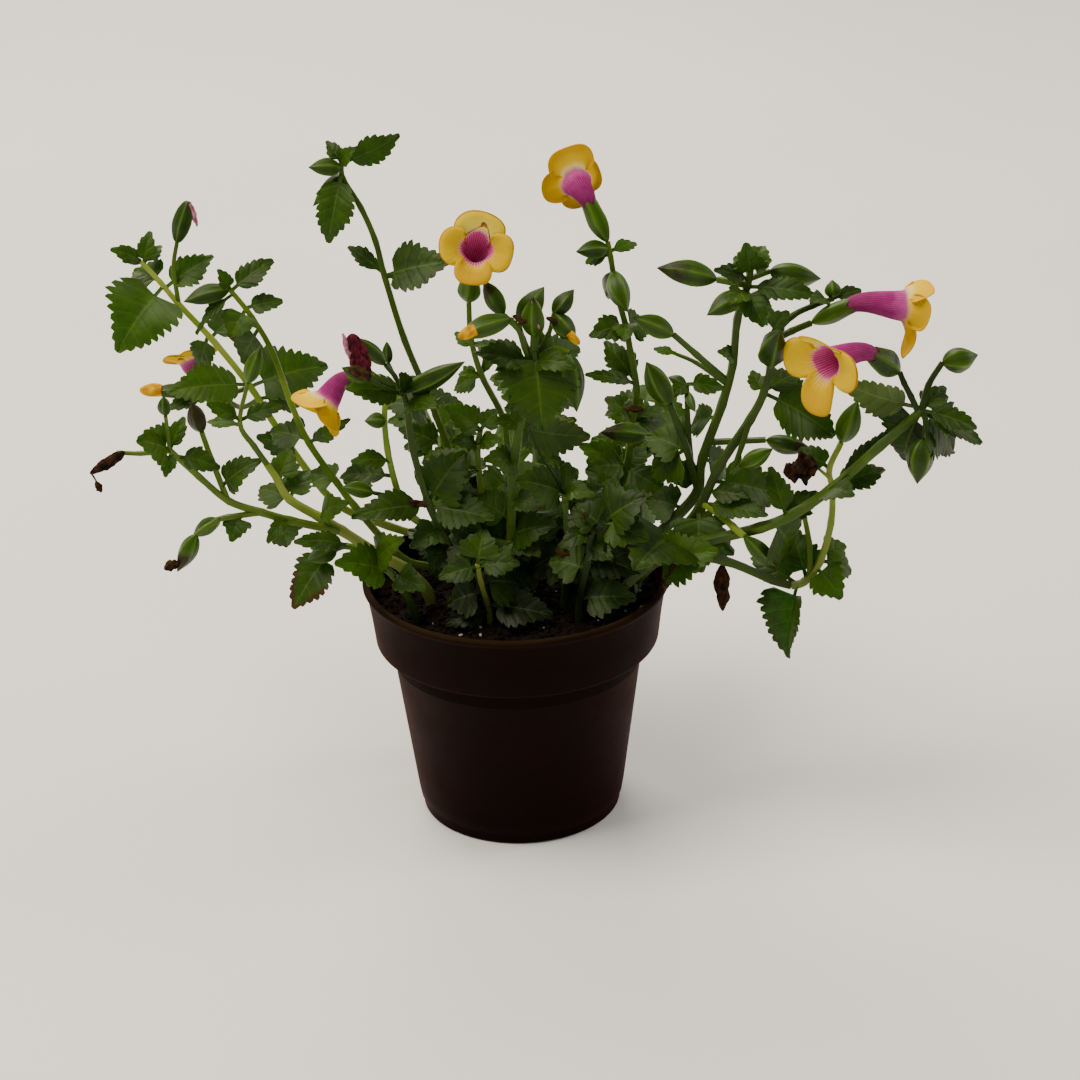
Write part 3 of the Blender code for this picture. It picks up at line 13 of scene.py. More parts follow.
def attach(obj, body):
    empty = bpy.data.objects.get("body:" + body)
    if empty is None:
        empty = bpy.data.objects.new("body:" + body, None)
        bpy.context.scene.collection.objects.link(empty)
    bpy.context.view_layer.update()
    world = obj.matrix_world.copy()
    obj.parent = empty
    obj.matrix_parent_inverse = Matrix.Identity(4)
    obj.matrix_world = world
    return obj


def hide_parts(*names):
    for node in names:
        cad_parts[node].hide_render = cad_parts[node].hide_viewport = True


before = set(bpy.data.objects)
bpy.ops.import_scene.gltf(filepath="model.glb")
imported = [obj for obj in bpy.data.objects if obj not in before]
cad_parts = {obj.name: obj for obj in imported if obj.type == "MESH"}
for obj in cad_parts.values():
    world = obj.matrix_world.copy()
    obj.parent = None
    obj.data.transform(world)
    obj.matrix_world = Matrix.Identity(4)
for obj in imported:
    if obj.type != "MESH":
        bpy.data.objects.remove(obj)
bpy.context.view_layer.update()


# Camera
# The photograph was taken from about a metre away on a long lens, looking down at the pot
# by 25 degrees, and the camera was rolled a little.

MM = 0.001
LOOK_DOWN = math.radians(25.0)
ROLL = math.radians(-1.4)
AIM = Vector((9.0, 0.0, 104.0)) * MM
AWAY = 1030.0 * MM

back = Vector((0.0, -math.cos(LOOK_DOWN), math.sin(LOOK_DOWN)))
camera = bpy.data.objects.new("camera", bpy.data.cameras.new("camera"))
camera.data.sensor_width = 36.0
camera.data.lens = 96.0
turn = back.to_track_quat("Z", "Y").to_matrix() @ Matrix.Rotation(ROLL, 3, "Z")
camera.matrix_world = Matrix.Translation(AIM + back * AWAY) @ turn.to_4x4()
bpy.context.scene.collection.objects.link(camera)
bpy.context.scene.camera = camera


# Floor and studio light
# A seamless sheet of white paper, lit by large soft boxes: one high on the left, one low on
# the right, and one behind that shines through the leaves.

FLOOR_HALF = 9.0
FLOOR_DROP = 0.2 * MM
WARM_WHITE = "#fff2dc"
WORLD_STRENGTH = 0.4


def linear(colour):
    """The linear value of an sRGB hex colour, as Blender's sockets take it."""
    parts = [int(colour[i:i + 2], 16) / 255.0 for i in (1, 3, 5)]
    return (*[p / 12.92 if p <= 0.04045 else ((p + 0.055) / 1.055) ** 2.4 for p in parts], 1.0)


def feed(node, *values, **named):
    """Sets or links a node's sockets, in order or by name. A node stands for its first output."""
    sockets = [socket for socket in node.inputs if socket.enabled]
    names = {socket.name: socket for socket in reversed(sockets)}
    pairs = list(zip(sockets, values)) + [(names[name.replace("_", " ")], named[name]) for name in named]
    for socket, value in pairs:
        if isinstance(value, bpy.types.Node):
            value = next(output for output in value.outputs if output.enabled)
        if isinstance(value, bpy.types.NodeSocket):
            node.id_data.links.new(value, socket)
        else:
            socket.default_value = linear(value) if isinstance(value, str) else value


def add_node(tree, kind, *values, stops=(), **named):
    """Adds a shader node. Names in lower case are its settings, and the rest fill its sockets."""
    made = tree.nodes.new("ShaderNode" + kind)
    for name in [name for name in named if name.islower()]:
        setattr(made, name, named.pop(name))
    for number, (place, colour) in enumerate(stops):
        if number > 1:
            made.color_ramp.elements.new(place)
        made.color_ramp.elements[number].position = place
        made.color_ramp.elements[number].color = linear(colour)
    feed(made, *values, **named)
    return made


def new_material(name, roughness, **values):
    """A material, the way to add nodes to it, and its Principled shader with constants set."""
    made = bpy.data.materials.new(name)
    made.use_nodes = True
    shader = made.node_tree.nodes["Principled BSDF"]
    feed(shader, Roughness=roughness, **values)
    return made, partial(add_node, made.node_tree), shader


def studio_paper():
    """White paper: matt, with a grain too fine to show as more than a slight mottle."""
    made, add, shader = new_material("white_studio_paper", 0.9)
    mottle = add("TexNoise", add("TexCoord").outputs["Object"], 3.0)
    feed(shader, Base_Color=add("ValToRGB", mottle, stops=[(0.3, "#f1f1ef"), (0.7, "#f6f6f4")]))
    return made


def new_object(name, shape, materials, smooth=True):
    """Makes an object of a bmesh, which is freed."""
    mesh = bpy.data.meshes.new(name)
    shape.to_mesh(mesh)
    shape.free()
    for material in materials:
        mesh.materials.append(material)
    if smooth:
        mesh.shade_smooth()
    made = bpy.data.objects.new(name, mesh)
    bpy.context.scene.collection.objects.link(made)
    return made


sheet = bmesh.new()
bmesh.ops.create_grid(sheet, x_segments=2, y_segments=2, size=FLOOR_HALF)
bmesh.ops.translate(sheet, verts=sheet.verts, vec=(0.0, 0.0, -FLOOR_DROP))
new_object("floor", sheet, [studio_paper()])

for name, spot, aim_height, size, watts in (
        ("light_high_left", (-0.7, -0.2, 1.6), 0.12, (1.0, 1.0), 33.0),
        ("light_right", (1.4, 0.3, 0.8), 0.1, (0.5, 1.0), 10.0),
        ("light_behind", (-0.4, 1.3, 1.1), 0.14, (1.2, 0.7), 20.0)):
    light = bpy.data.lights.new(name, "AREA")
    light.shape = "RECTANGLE"
    light.size, light.size_y = size
    light.energy = watts
    light.color = linear(WARM_WHITE)[:3]
    soft_box = bpy.data.objects.new(name, light)
    way = Vector(spot) - Vector((0.0, 0.0, aim_height))
    soft_box.matrix_world = Matrix.Translation(spot) @ way.to_track_quat("Z", "Y").to_matrix().to_4x4()
    bpy.context.scene.collection.objects.link(soft_box)
world = bpy.data.worlds.new("studio")
bpy.context.scene.world = world
world.use_nodes = True
feed(world.node_tree.nodes["Background"], Color="#f4f6f8", Strength=WORLD_STRENGTH)


# Pot
# A thin nursery pot of black-brown polypropylene, injection moulded: a deep rim band for
# stacking, a rounded step below it, a tapered body and a small foot with drain holes.

RIM_R = 55.0
RIM_TOP = 91.0
RIM_LOW = 67.0
BODY_TOP_R = 45.6
BODY_LOW_R = 37.4
FOOT_R = 36.4
WALL = 1.3
FLOOR = 2.0
DRAIN_HOLES = 5
DRAIN_RING_R = 26.0
DRAIN_R = 4.0


def spin_profile(profile, segments):
    """A body turned round Z from (radius, height) points in mm, closed and facing out."""
    shape = bmesh.new()
    verts = [shape.verts.new((r * MM, 0.0, z * MM)) for r, z in profile]
    edges = [shape.edges.new(pair) for pair in zip(verts, verts[1:])]
    bmesh.ops.spin(shape, geom=verts + edges, axis=(0, 0, 1), cent=(0, 0, 0), steps=segments,
                   angle=math.tau, use_merge=True)
    bmesh.ops.remove_doubles(shape, verts=shape.verts[:], dist=0.01 * MM)
    bmesh.ops.recalc_face_normals(shape, faces=shape.faces[:])
    return shape


def moulded_polypropylene():
    """Black-brown polypropylene: a dull sheen, fine mould grain, dust, and dried soil on the lip."""
    made, add, shader = new_material("moulded_polypropylene", 0.6, IOR=1.49, Specular_IOR_Level=0.04,
                                     Sheen_Weight=0.045, Sheen_Roughness=0.4, Sheen_Tint="#e04020")
    where = add("TexCoord").outputs["Object"]
    cloud = add("TexNoise", where, 38.0, 5.0, 0.62)
    plain = add("ValToRGB", cloud, stops=[(0.3, "#0a0201"), (0.62, "#120402"), (0.8, "#1a0703")])
    top = add("MapRange", add("SeparateXYZ", where).outputs["Z"], 0.0885, 0.0912)
    dirt = add("Math", top, cloud, operation="MULTIPLY")
    lip = add("Mix", dirt, plain, "#2c2008", data_type="RGBA")
    dust = add("MapRange", add("TexVoronoi", where, 420.0), 0.14, 0.08, 0.0, 0.25)
    dusty = add("Mix", dust, lip, "#2c1c10", data_type="RGBA")
    worn = add("MapRange", cloud, 0.3, 0.75, 0.55, 0.75)
    bump = add("Bump", 0.12, 0.0002, Height=add("TexNoise", where, 900.0, 3.0))
    feed(shader, Base_Color=dusty, Roughness=worn, Normal=bump)
    return made


def arc(centre, radius, first, last, count):
    """Points on an arc in the (radius, height) plane, with its angles in degrees."""
    turns = [math.radians(first + (last - first) * k / (count - 1)) for k in range(count)]
    return [(centre[0] + radius * math.cos(t), centre[1] + radius * math.sin(t)) for t in turns]


outside = [
    (0.0, 0.0), (FOOT_R - 3.0, 0.0), (FOOT_R - 2.4, 0.5), (FOOT_R - 1.6, 0.5),
    *arc((FOOT_R - 0.8, 0.8), 0.8, 270, 360, 5),
    (FOOT_R + 0.1, 3.6), (FOOT_R + 0.5, 4.2), (BODY_LOW_R, 4.8), (BODY_LOW_R + 0.7, 9.0),
    (BODY_TOP_R - 0.8, 59.4), (BODY_TOP_R - 0.3, 59.9), (BODY_TOP_R - 0.2, 63.5),
    *arc((BODY_TOP_R + 2.2, 64.4), 2.4, 180, 100, 6),
    *arc((RIM_R - 5.4, RIM_LOW + 1.6), 1.7, 275, 350, 6),
    (RIM_R - 2.6, 78.0), (RIM_R - 1.1, 87.6), (RIM_R - 0.9, 88.2),
    *arc((RIM_R - 0.9, RIM_TOP - 1.3), 1.15, 280, 450, 9)]
inside = [
    *arc((RIM_R - 1.8, RIM_TOP - 0.5), 0.45, 100, 190, 4),
    (RIM_R - 2.6, RIM_TOP - 3.4), (RIM_R - 4.9, RIM_LOW + 1.6), (BODY_TOP_R + 1.0, RIM_LOW + 0.6),
    (BODY_TOP_R - WALL, RIM_LOW - 1.5), (BODY_LOW_R - WALL, FLOOR), (0.0, FLOOR)]
pot = new_object("nursery_pot", spin_profile(outside + inside, 128), [moulded_polypropylene()])
holes = bmesh.new()
for number in range(DRAIN_HOLES):
    turn = Matrix.Rotation(math.tau * (number + 0.5) / DRAIN_HOLES, 4, "Z")
    spot = turn @ Vector((DRAIN_RING_R, 0.0, FLOOR / 2.0)) * MM
    bmesh.ops.create_cone(holes, cap_ends=True, segments=24, radius1=DRAIN_R * MM, radius2=DRAIN_R * MM,
                          depth=3.0 * FLOOR * MM, matrix=Matrix.Translation(spot))
cutter = new_object("drain_cutter", holes, [], smooth=False)
cut = pot.modifiers.new("drain_holes", "BOOLEAN")
cut.operation = "DIFFERENCE"
cut.object = cutter
cut.solver = "EXACT"
bpy.context.view_layer.update()
drained = bpy.data.meshes.new_from_object(pot.evaluated_get(bpy.context.evaluated_depsgraph_get()))
pot.modifiers.remove(cut)
pot.data = drained
bpy.data.objects.remove(cutter, do_unlink=True)
drained.set_sharp_from_angle(angle=math.radians(38))
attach(pot, "root")
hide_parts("pot")


# Potting mix
# Dark peat with bits of bark and white perlite, filled to 9 mm below the lip. Its crumbs are
# loose on a lumpy surface.

SOIL_TOP = 82.0
SOIL_MOUND = 2.2
SOIL_RINGS = 34
GAP = 0.3
LIP_R = RIM_R - 4.9 - GAP - 0.2
LIP_LOW = RIM_LOW + 2.2
SOIL_R = LIP_R + (SOIL_TOP - LIP_LOW) * 2.8 / 21.8
GRAIN_REACH = 49.0


def soil_height(x, y):
    """The soil's height in mm: a low mound with the same clods as its solid."""
    radius = math.hypot(x, y)
    clods = 0.7 * math.sin(x * 0.31 + 1.3) * math.cos(y * 0.27 - 0.4) + 0.4 * math.sin(x * 0.6 - y * 0.5)
    return SOIL_TOP + SOIL_MOUND * (1.0 - (radius / 50.0) ** 2) + clods


def damp_peat():
    """Damp peat: black-brown, matt, with paler fibres and a crumbly grain of about 1 mm."""
    made, add, shader = new_material("damp_peat", 0.9, Specular_IOR_Level=0.1)
    crumb = add("TexNoise", add("TexCoord").outputs["Object"], 700.0, 6.0, 0.7)
    tone = add("ValToRGB", crumb, stops=[(0.35, "#060302"), (0.55, "#150c07"), (0.72, "#2e2014")])
    feed(shader, Base_Color=tone, Normal=add("Bump", 0.8, 0.0006, Height=crumb))
    return made


def perlite():
    """Expanded perlite: chalk-white grains with dark pores."""
    made, add, shader = new_material("perlite", 0.9)
    pore = add("TexVoronoi", add("TexCoord").outputs["Object"], 1500.0)
    feed(shader, Base_Color=add("ValToRGB", pore, stops=[(0.1, "#6a6254"), (0.4, "#bcb6a8")]))
    return made


profile = [(0.0, FLOOR + GAP), (BODY_LOW_R - WALL - 0.9, FLOOR + GAP),
           (BODY_TOP_R - WALL - GAP - 0.2, RIM_LOW - 1.5), (BODY_TOP_R + 1.0 - GAP - 0.2, LIP_LOW),
           (LIP_R, LIP_LOW), (SOIL_R, SOIL_TOP - 1.2)]
profile += [(SOIL_R * (1.0 - ring / SOIL_RINGS), SOIL_TOP) for ring in range(1, SOIL_RINGS + 1)]
shape = spin_profile(profile, 96)
for vert in shape.verts:
    x, y, z = vert.co / MM
    if z > SOIL_TOP - 0.5:
        rough = noise.noise(Vector((x, y, 3.0)) * 0.28) * 0.9 + noise.noise(Vector((x, y, 9.0)) * 0.8) * 0.5
        vert.co.z = (soil_height(x, y) + rough) * MM
peat = damp_peat()
soil = new_object("potting_mix", shape, [peat])
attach(soil, "root")
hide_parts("soil")

# Each kind of loose grain: its count, its sizes in mm, its share of height, and its random seed.
for name, count, sizes, flat, material, seed in (
        ("peat_crumbs", 1500, (0.5, 1.7), (0.5, 0.9), peat, 3),
        ("perlite_grains", 34, (0.4, 1.0), (0.7, 0.95), perlite(), 4)):
    draw = random.Random(seed)
    grains = bmesh.new()
    for _ in range(count):
        radius = GRAIN_REACH * math.sqrt(draw.random())
        angle = draw.uniform(0.0, math.tau)
        x, y = radius * math.cos(angle), radius * math.sin(angle)
        size = draw.uniform(*sizes)
        turn = Matrix.Rotation(draw.uniform(0, math.tau), 4, "Z")
        turn = turn @ Matrix.Rotation(draw.uniform(-0.5, 0.5), 4, "X")
        stretch = Matrix.Diagonal((size, size * draw.uniform(0.6, 0.9), size * draw.uniform(*flat), 1.0))
        spot = Matrix.Translation((x, y, soil_height(x, y) + size * 0.2))
        ball = bmesh.ops.create_icosphere(grains, subdivisions=1, radius=1.0)["verts"]
        for vert in ball:
            vert.co *= draw.uniform(0.78, 1.12)
        bmesh.ops.transform(grains, verts=ball, matrix=Matrix.Scale(MM, 4) @ spot @ turn @ stretch)
    piece = new_object(name, grains, [material], smooth=False)
    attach(piece, "root")


# Leafy shoots
# Torenia grows square green stems with a pair of toothed leaves at each joint, and ribbed buds
# on stalks between them. Each shoot is one object that stands in the soil, and the functions
# below draw them all.

# Places are read off the photograph on an upright board across the pot's axis, as (across, up)
# in mm, with a depth that says how far behind the board a thing really is.
EYE = Vector((9.0, -933.0, 539.0))
HOLE_LOW = 72.0
ROOT_TOP = SOIL_TOP + 5.0
# A leaf's stalk: its share of the length, its rows in the grid and half its width.
STALK, STALK_ROWS, STALK_HALF = 0.16, 3, 0.7
TOOTH_RUN, VEIN_RUN, LEAF_THICK = 3.2, 5.5, 0.36
CALYX_WALL, CALYX_MOUTH_R = 0.4, 2.9
# Leaves inside this radius and below this height get painted shade: their green is darkened as if the rest of
# the plant shaded them.
PAINTED_SHADE_R, PAINTED_SHADE_TOP = 58.0, 118.0
# How far a tip may lie from its first depth, as tried when the solid was built.
DEPTH_STEPS = (0, 5, -5, 10, -10, 15, -15, 21, -21, 28, -28)
SHADE_FOLD = 0.16
LEAF, UNDERSIDE, STEM, CALYX, SPENT, FADED = range(6)


def place(across, up, depth):
    """The real point that lies at the given depth behind the board's point (across, up)."""
    reach = (depth - EYE.y) / -EYE.y
    return EYE + (Vector((across, 0.0, up)) - EYE) * reach


def on_board(point):
    """Where a real point shows on the board, with its depth."""
    seen = EYE + (point - EYE) * (-EYE.y / (point.y - EYE.y))
    return (seen.x, seen.z, point.y)


def nearest(lines, across, up):
    """The place on a shoot's lines that shows closest to the board's point."""
    spots = []
    for line in lines:
        for start, end in zip(line, line[1:]):
            run = (end[0] - start[0], end[1] - start[1])
            square = run[0] ** 2 + run[1] ** 2 or 1.0
            share = ((across - start[0]) * run[0] + (up - start[1]) * run[1]) / square
            share = min(1.0, max(0.0, share))
            spots.append(tuple(a + (b - a) * share for a, b in zip(start, end)))
    return min(spots, key=lambda spot: math.hypot(spot[0] - across, spot[1] - up))


def with_depths(places, first, last):
    """Gives board places depths that change evenly along the line."""
    runs = [0.0]
    for start, end in zip(places, places[1:]):
        runs.append(runs[-1] + math.dist(start[:2], end[:2]))
    return [(p[0], p[1], first + (last - first) * run / runs[-1]) for p, run in zip(places, runs)]


def stem_line(root, places, depth):
    """A main stem's line from its root, a real (x, y) on the soil, through places on the board."""
    return with_depths([on_board(Vector((*root, ROOT_TOP)))[:2], *places], root[1], depth)


def leaf_normal(foot, end, turn):
    """A leaf's upper side looks half to the sky and half to the viewer, and turns from there."""
    along = (end - foot).normalized()
    open_side = (Vector((0.0, -0.35, 1.0)).normalized() + (EYE - foot).normalized()) * 0.5
    across = along.cross(open_side).normalized()
    angle = math.radians(turn)
    return across.cross(along) * math.cos(angle) + across * math.sin(angle)


def axes(foot, end):
    """The length and the way of a run, with two ways square to it."""
    axis = end - foot
    length = axis.length
    axis.normalize()
    side = axis.orthogonal().normalized()
    return length, axis, side, axis.cross(side)


def rounded(points, widths, cuts=5):
    """A smooth line through the points, swollen at each of them, with the width at each place."""
    ends = [points[0] * 2 - points[1], *points, points[-1] * 2 - points[-2]]
    line = []
    for k in range(len(points) - 1):
        a, b, c, d = ends[k:k + 4]
        for cut in range(cuts):
            t = cut / cuts
            spot = 0.5 * (b * 2 + (c - a) * t + (a * 2 - b * 5 + c * 4 - d) * t * t
                          + (b * 3 - a - c * 3 + d) * t ** 3)
            joint = 1.12 if cut == 0 and k else 1.0
            line.append((spot, (widths[k] + (widths[k + 1] - widths[k]) * t) * joint))
    return line + [(points[-1], widths[-1])]


def parts_of(made, kind):
    """The parts of one kind among those that an operator gives back."""
    return [part for part in made["geom"] if isinstance(part, kind)]


def faces_at(verts):
    """The faces at some vertices, once each and in the same order each run."""
    return list(dict.fromkeys(face for vert in verts for face in vert.link_faces))


def sweep(shape, line, sides=12, square=0.13):
    """A stalk: a circle with rounded corners, extruded from place to place along the line."""
    frames = []
    side = (line[1][0] - line[0][0]).orthogonal().normalized()
    for k, (spot, width) in enumerate(line):
        along = (line[min(k + 1, len(line) - 1)][0] - line[max(k - 1, 0)][0]).normalized()
        side = (side - along * side.dot(along)).normalized()
        turn = Matrix((side, along.cross(side), along)).transposed().to_4x4()
        frames.append(Matrix.Translation(spot * MM) @ turn @ Matrix.Scale(width * 0.5 * MM, 4))
    ring = bmesh.ops.create_circle(shape, segments=sides, radius=1.0)["verts"]
    for vert in ring:
        vert.co *= 0.97 + square * math.cos(4.0 * math.atan2(vert.co.y, vert.co.x))
    bmesh.ops.transform(shape, verts=ring, matrix=frames[0])
    edges = list(dict.fromkeys(edge for vert in ring for edge in vert.link_edges))
    faces = list(bmesh.ops.contextual_create(shape, geom=edges)["faces"])
    for before, after in zip(frames, frames[1:]):
        grown = bmesh.ops.extrude_edge_only(shape, edges=edges)
        verts = parts_of(grown, bmesh.types.BMVert)
        faces += parts_of(grown, bmesh.types.BMFace)
        fresh = set(verts)
        edges = [edge for edge in parts_of(grown, bmesh.types.BMEdge) if fresh.issuperset(edge.verts)]
        bmesh.ops.transform(shape, verts=verts, matrix=after @ before.inverted())
    faces += bmesh.ops.contextual_create(shape, geom=edges)["faces"]
    bmesh.ops.recalc_face_normals(shape, faces=faces)
    return faces


def draw_stalk(shape, points, thick, tint):
    """A stem or a twig that tapers from one end to the other."""
    last = len(points) - 1
    widths = [thick[0] + (thick[1] - thick[0]) * k / last for k in range(last + 1)]
    state = shape.verts.layers.float_vector["leaf_state"]
    for face in sweep(shape, rounded(points, widths)):
        face.material_index = STEM
        for vert in face.verts:
            vert[state] = (tint, 0.0, 3.0)


def blade_half_width(share, fullness):
    """Half the width of an ovate blade, from its base at 0 to its tip at 1, largest 0.5."""
    return 0.5 * math.sin(math.pi * share ** fullness) ** 0.8 if 0.0 < share < 1.0 else 0.0


def draw_leaf(shape, foot, end, width, normal, arch, fold, tint, dry, draw):
    """A grid bent into a toothed leaf: a flat stalk, then a blade with sunk veins and uneven teeth."""
    along = end - foot
    length = along.length
    along.normalize()
    side = normal.cross(along).normalized()
    up = along.cross(side)
    teeth = max(4, min(10, round(length / TOOTH_RUN)))
    veins = max(3, min(6, round(length / VEIN_RUN)))
    broad = min(1.0, max(0.0, (width / length - 0.42) / 0.33))
    fullness = 0.72 - 0.28 * broad
    rows = 3 * teeth + STALK_ROWS + 1
    grid = bmesh.ops.create_grid(shape, x_segments=8, y_segments=rows, size=1.0)["verts"]
    leaf_place = shape.verts.layers.float_vector["leaf_place"]
    leaf_state = shape.verts.layers.float_vector["leaf_state"]
    wave = draw.uniform(0.0, math.tau)
    ruffle = draw.uniform(0.01, 0.045) * length
    twist = draw.uniform(-0.25, 0.25)
    droop = draw.uniform(-0.02, 0.13) * length
    jags = [[draw.uniform(0.4, 1.5) for _ in range(teeth + 1)] for _ in range(2)]
    depth = 0.1 * min(1.0, 0.3 + length / 26.0)
    for vert in grid:
        row = round((vert.co.y + 1.0) / 2.0 * rows)
        across = vert.co.x
        step = max(0.0, (row - STALK_ROWS) / (rows - STALK_ROWS))
        edge = max(0.0, (abs(across) - 0.74) / 0.26)
        if row <= STALK_ROWS:
            share, half = STALK * row / STALK_ROWS, STALK_HALF
        elif row == rows:
            share, half = 1.0, 0.0
        else:
            tooth, part = divmod(row - STALK_ROWS - 1, 3)
            jag = jags[across > 0.0][tooth]
            half = width * blade_half_width(step, fullness) * (1.0 + edge * depth * (-1.2, 0.3, jag)[part])
            half *= 1.0 + 0.09 * math.sin(3.0 * wave + 8.0 * step + 2.5 * (across > 0.0))
            half = max(half, STALK_HALF * (1.0 - step))
            step += (0.0, 0.1, 0.7)[part] * edge / (rows - STALK_ROWS)
            share = STALK + (1.0 - STALK) * (step - 0.13 * broad * across ** 2 * math.exp(-9.0 * step))
        out = half * across
        blade = 1.0 if row > STALK_ROWS else 0.0
        lift = arch * length * 4.0 * share * (1.0 - share) + fold * abs(out) * (1.0 - 0.45 * abs(across))
        curl = ruffle * math.sin(wave + share * 9.0 + across * 1.5) * across ** 2
        lift += curl * blade * (1.0 - share * 0.4)
        lift += twist * out * share - droop * share ** 3
        lift += blade * 0.007 * width * math.cos(math.tau * (step * veins - abs(across) * 0.9)) * abs(across)
        lift -= blade * 0.016 * width * math.exp(-(across / 0.16) ** 2)
        vert.co = (foot + along * length * share + side * out + up * lift) * MM
        vert[leaf_place] = (step, across, veins)
        vert[leaf_state] = (tint, dry, blade)
    faces = faces_at(grid)
    bmesh.ops.recalc_face_normals(shape, faces=faces)
    if sum((face.normal * face.calc_area()).dot(up) for face in faces) < 0:
        bmesh.ops.reverse_faces(shape, faces=faces)
    raised = parts_of(bmesh.ops.extrude_face_region(shape, geom=faces), bmesh.types.BMVert)
    bmesh.ops.translate(shape, verts=raised, vec=up * LEAF_THICK * MM)
    for face in faces:
        face.material_index = UNDERSIDE
    bmesh.ops.remove_doubles(shape, verts=grid + raised, dist=0.02 * MM)


def draw_bud(shape, foot, end, width, kind, tint, brown):
    """A sphere drawn out into a bud: five keeled ribs, a slight twist and a beak, or a blunt end."""
    length, axis, side, other = axes(foot, end)
    ball = bmesh.ops.create_uvsphere(shape, u_segments=40, v_segments=16, radius=1.0)["verts"]
    leaf_place = shape.verts.layers.float_vector["leaf_place"]
    leaf_state = shape.verts.layers.float_vector["leaf_state"]
    for vert in ball:
        share = (1.0 + vert.co.z) / 2.0
        angle = math.atan2(vert.co.y, vert.co.x) + 0.35 * share
        rib = ((1.0 + math.cos(5.0 * angle)) / 2.0) ** 5
        if kind == "blunt":
            swell = max(0.0, math.sin(math.pi * (0.04 + 0.9 * share))) ** 0.6
            swell *= 1.0 if 0.0 < share < 1.0 else 0.0
        else:
            swell = max(0.0, math.sin(math.pi * share ** 0.82)) ** 0.8
            swell *= 1.0 - 0.3 * max(0.0, share - 0.75) / 0.25
        reach = width * 0.5 * swell * (0.84 + 0.17 * rib)
        bend = axis.cross(Vector((0.0, 0.0, 1.0))) * 0.05 * length * math.sin(math.pi * share)
        spot = foot + axis * length * share + bend
        vert.co = (spot + (side * math.cos(angle) + other * math.sin(angle)) * reach) * MM
        vert[leaf_place] = (share, rib, angle)
        vert[leaf_state] = (tint, brown, 2.0)
    faces = faces_at(ball)
    for face in faces:
        face.material_index = CALYX
    bmesh.ops.recalc_face_normals(shape, faces=faces)


def draw_calyx(shape, foot, end, width, tint):
    """The calyx round a bloom's tube: a ribbed cup whose rim rises in five pointed teeth."""
    length, axis, side, other = axes(foot, end)
    others = set(shape.faces)
    grid = bmesh.ops.create_grid(shape, x_segments=40, y_segments=14, size=1.0)["verts"]
    leaf_place = shape.verts.layers.float_vector["leaf_place"]
    leaf_state = shape.verts.layers.float_vector["leaf_state"]
    for vert in grid:
        share = (vert.co.y + 1.0) / 2.0
        angle = vert.co.x * math.pi
        rib = ((1.0 + math.cos(5.0 * angle)) / 2.0) ** 3
        close = max(0.0, (share - 0.6) / 0.4)
        reach = width * 0.5 * math.sin(math.pi * min(0.5, share * 0.8)) ** 0.7 * (0.86 + 0.17 * rib)
        reach += (CALYX_MOUTH_R - reach) * close ** 1.5
        rise = share + 0.16 * (0.2 + 0.8 * math.cos(2.5 * angle) ** 2) * close ** 2 - 0.02
        spot = foot + axis * length * rise
        vert.co = (spot + (side * math.cos(angle) + other * math.sin(angle)) * reach) * MM
        vert[leaf_place] = (share * 0.8, rib, 0.0)
        vert[leaf_state] = (tint, 0.12, 2.0)
    bmesh.ops.remove_doubles(shape, verts=grid, dist=0.01 * MM)
    faces = [face for face in shape.faces if face not in others]
    bmesh.ops.recalc_face_normals(shape, faces=faces)
    bmesh.ops.solidify(shape, geom=faces, thickness=CALYX_WALL * MM)
    for face in shape.faces:
        if face not in others:
            face.material_index = CALYX


def draw_scrap(shape, foot, end, width, index):
    """A crumpled scrap of spent flower or bark: a small sphere drawn out and dented."""
    length, axis, side, other = axes(foot, end)
    ball = bmesh.ops.create_uvsphere(shape, u_segments=14, v_segments=10, radius=1.0)["verts"]
    for vert in ball:
        dent = 0.75 + 0.7 * noise.noise(vert.co * 2.2 + foot)
        spot = foot + axis * length * (1.0 + vert.co.z * (0.9 + 0.2 * dent)) / 2.0
        vert.co = (spot + (side * vert.co.x + other * vert.co.y * 0.6) * width * 0.5 * dent) * MM
    for face in faces_at(ball):
        face.material_index = index


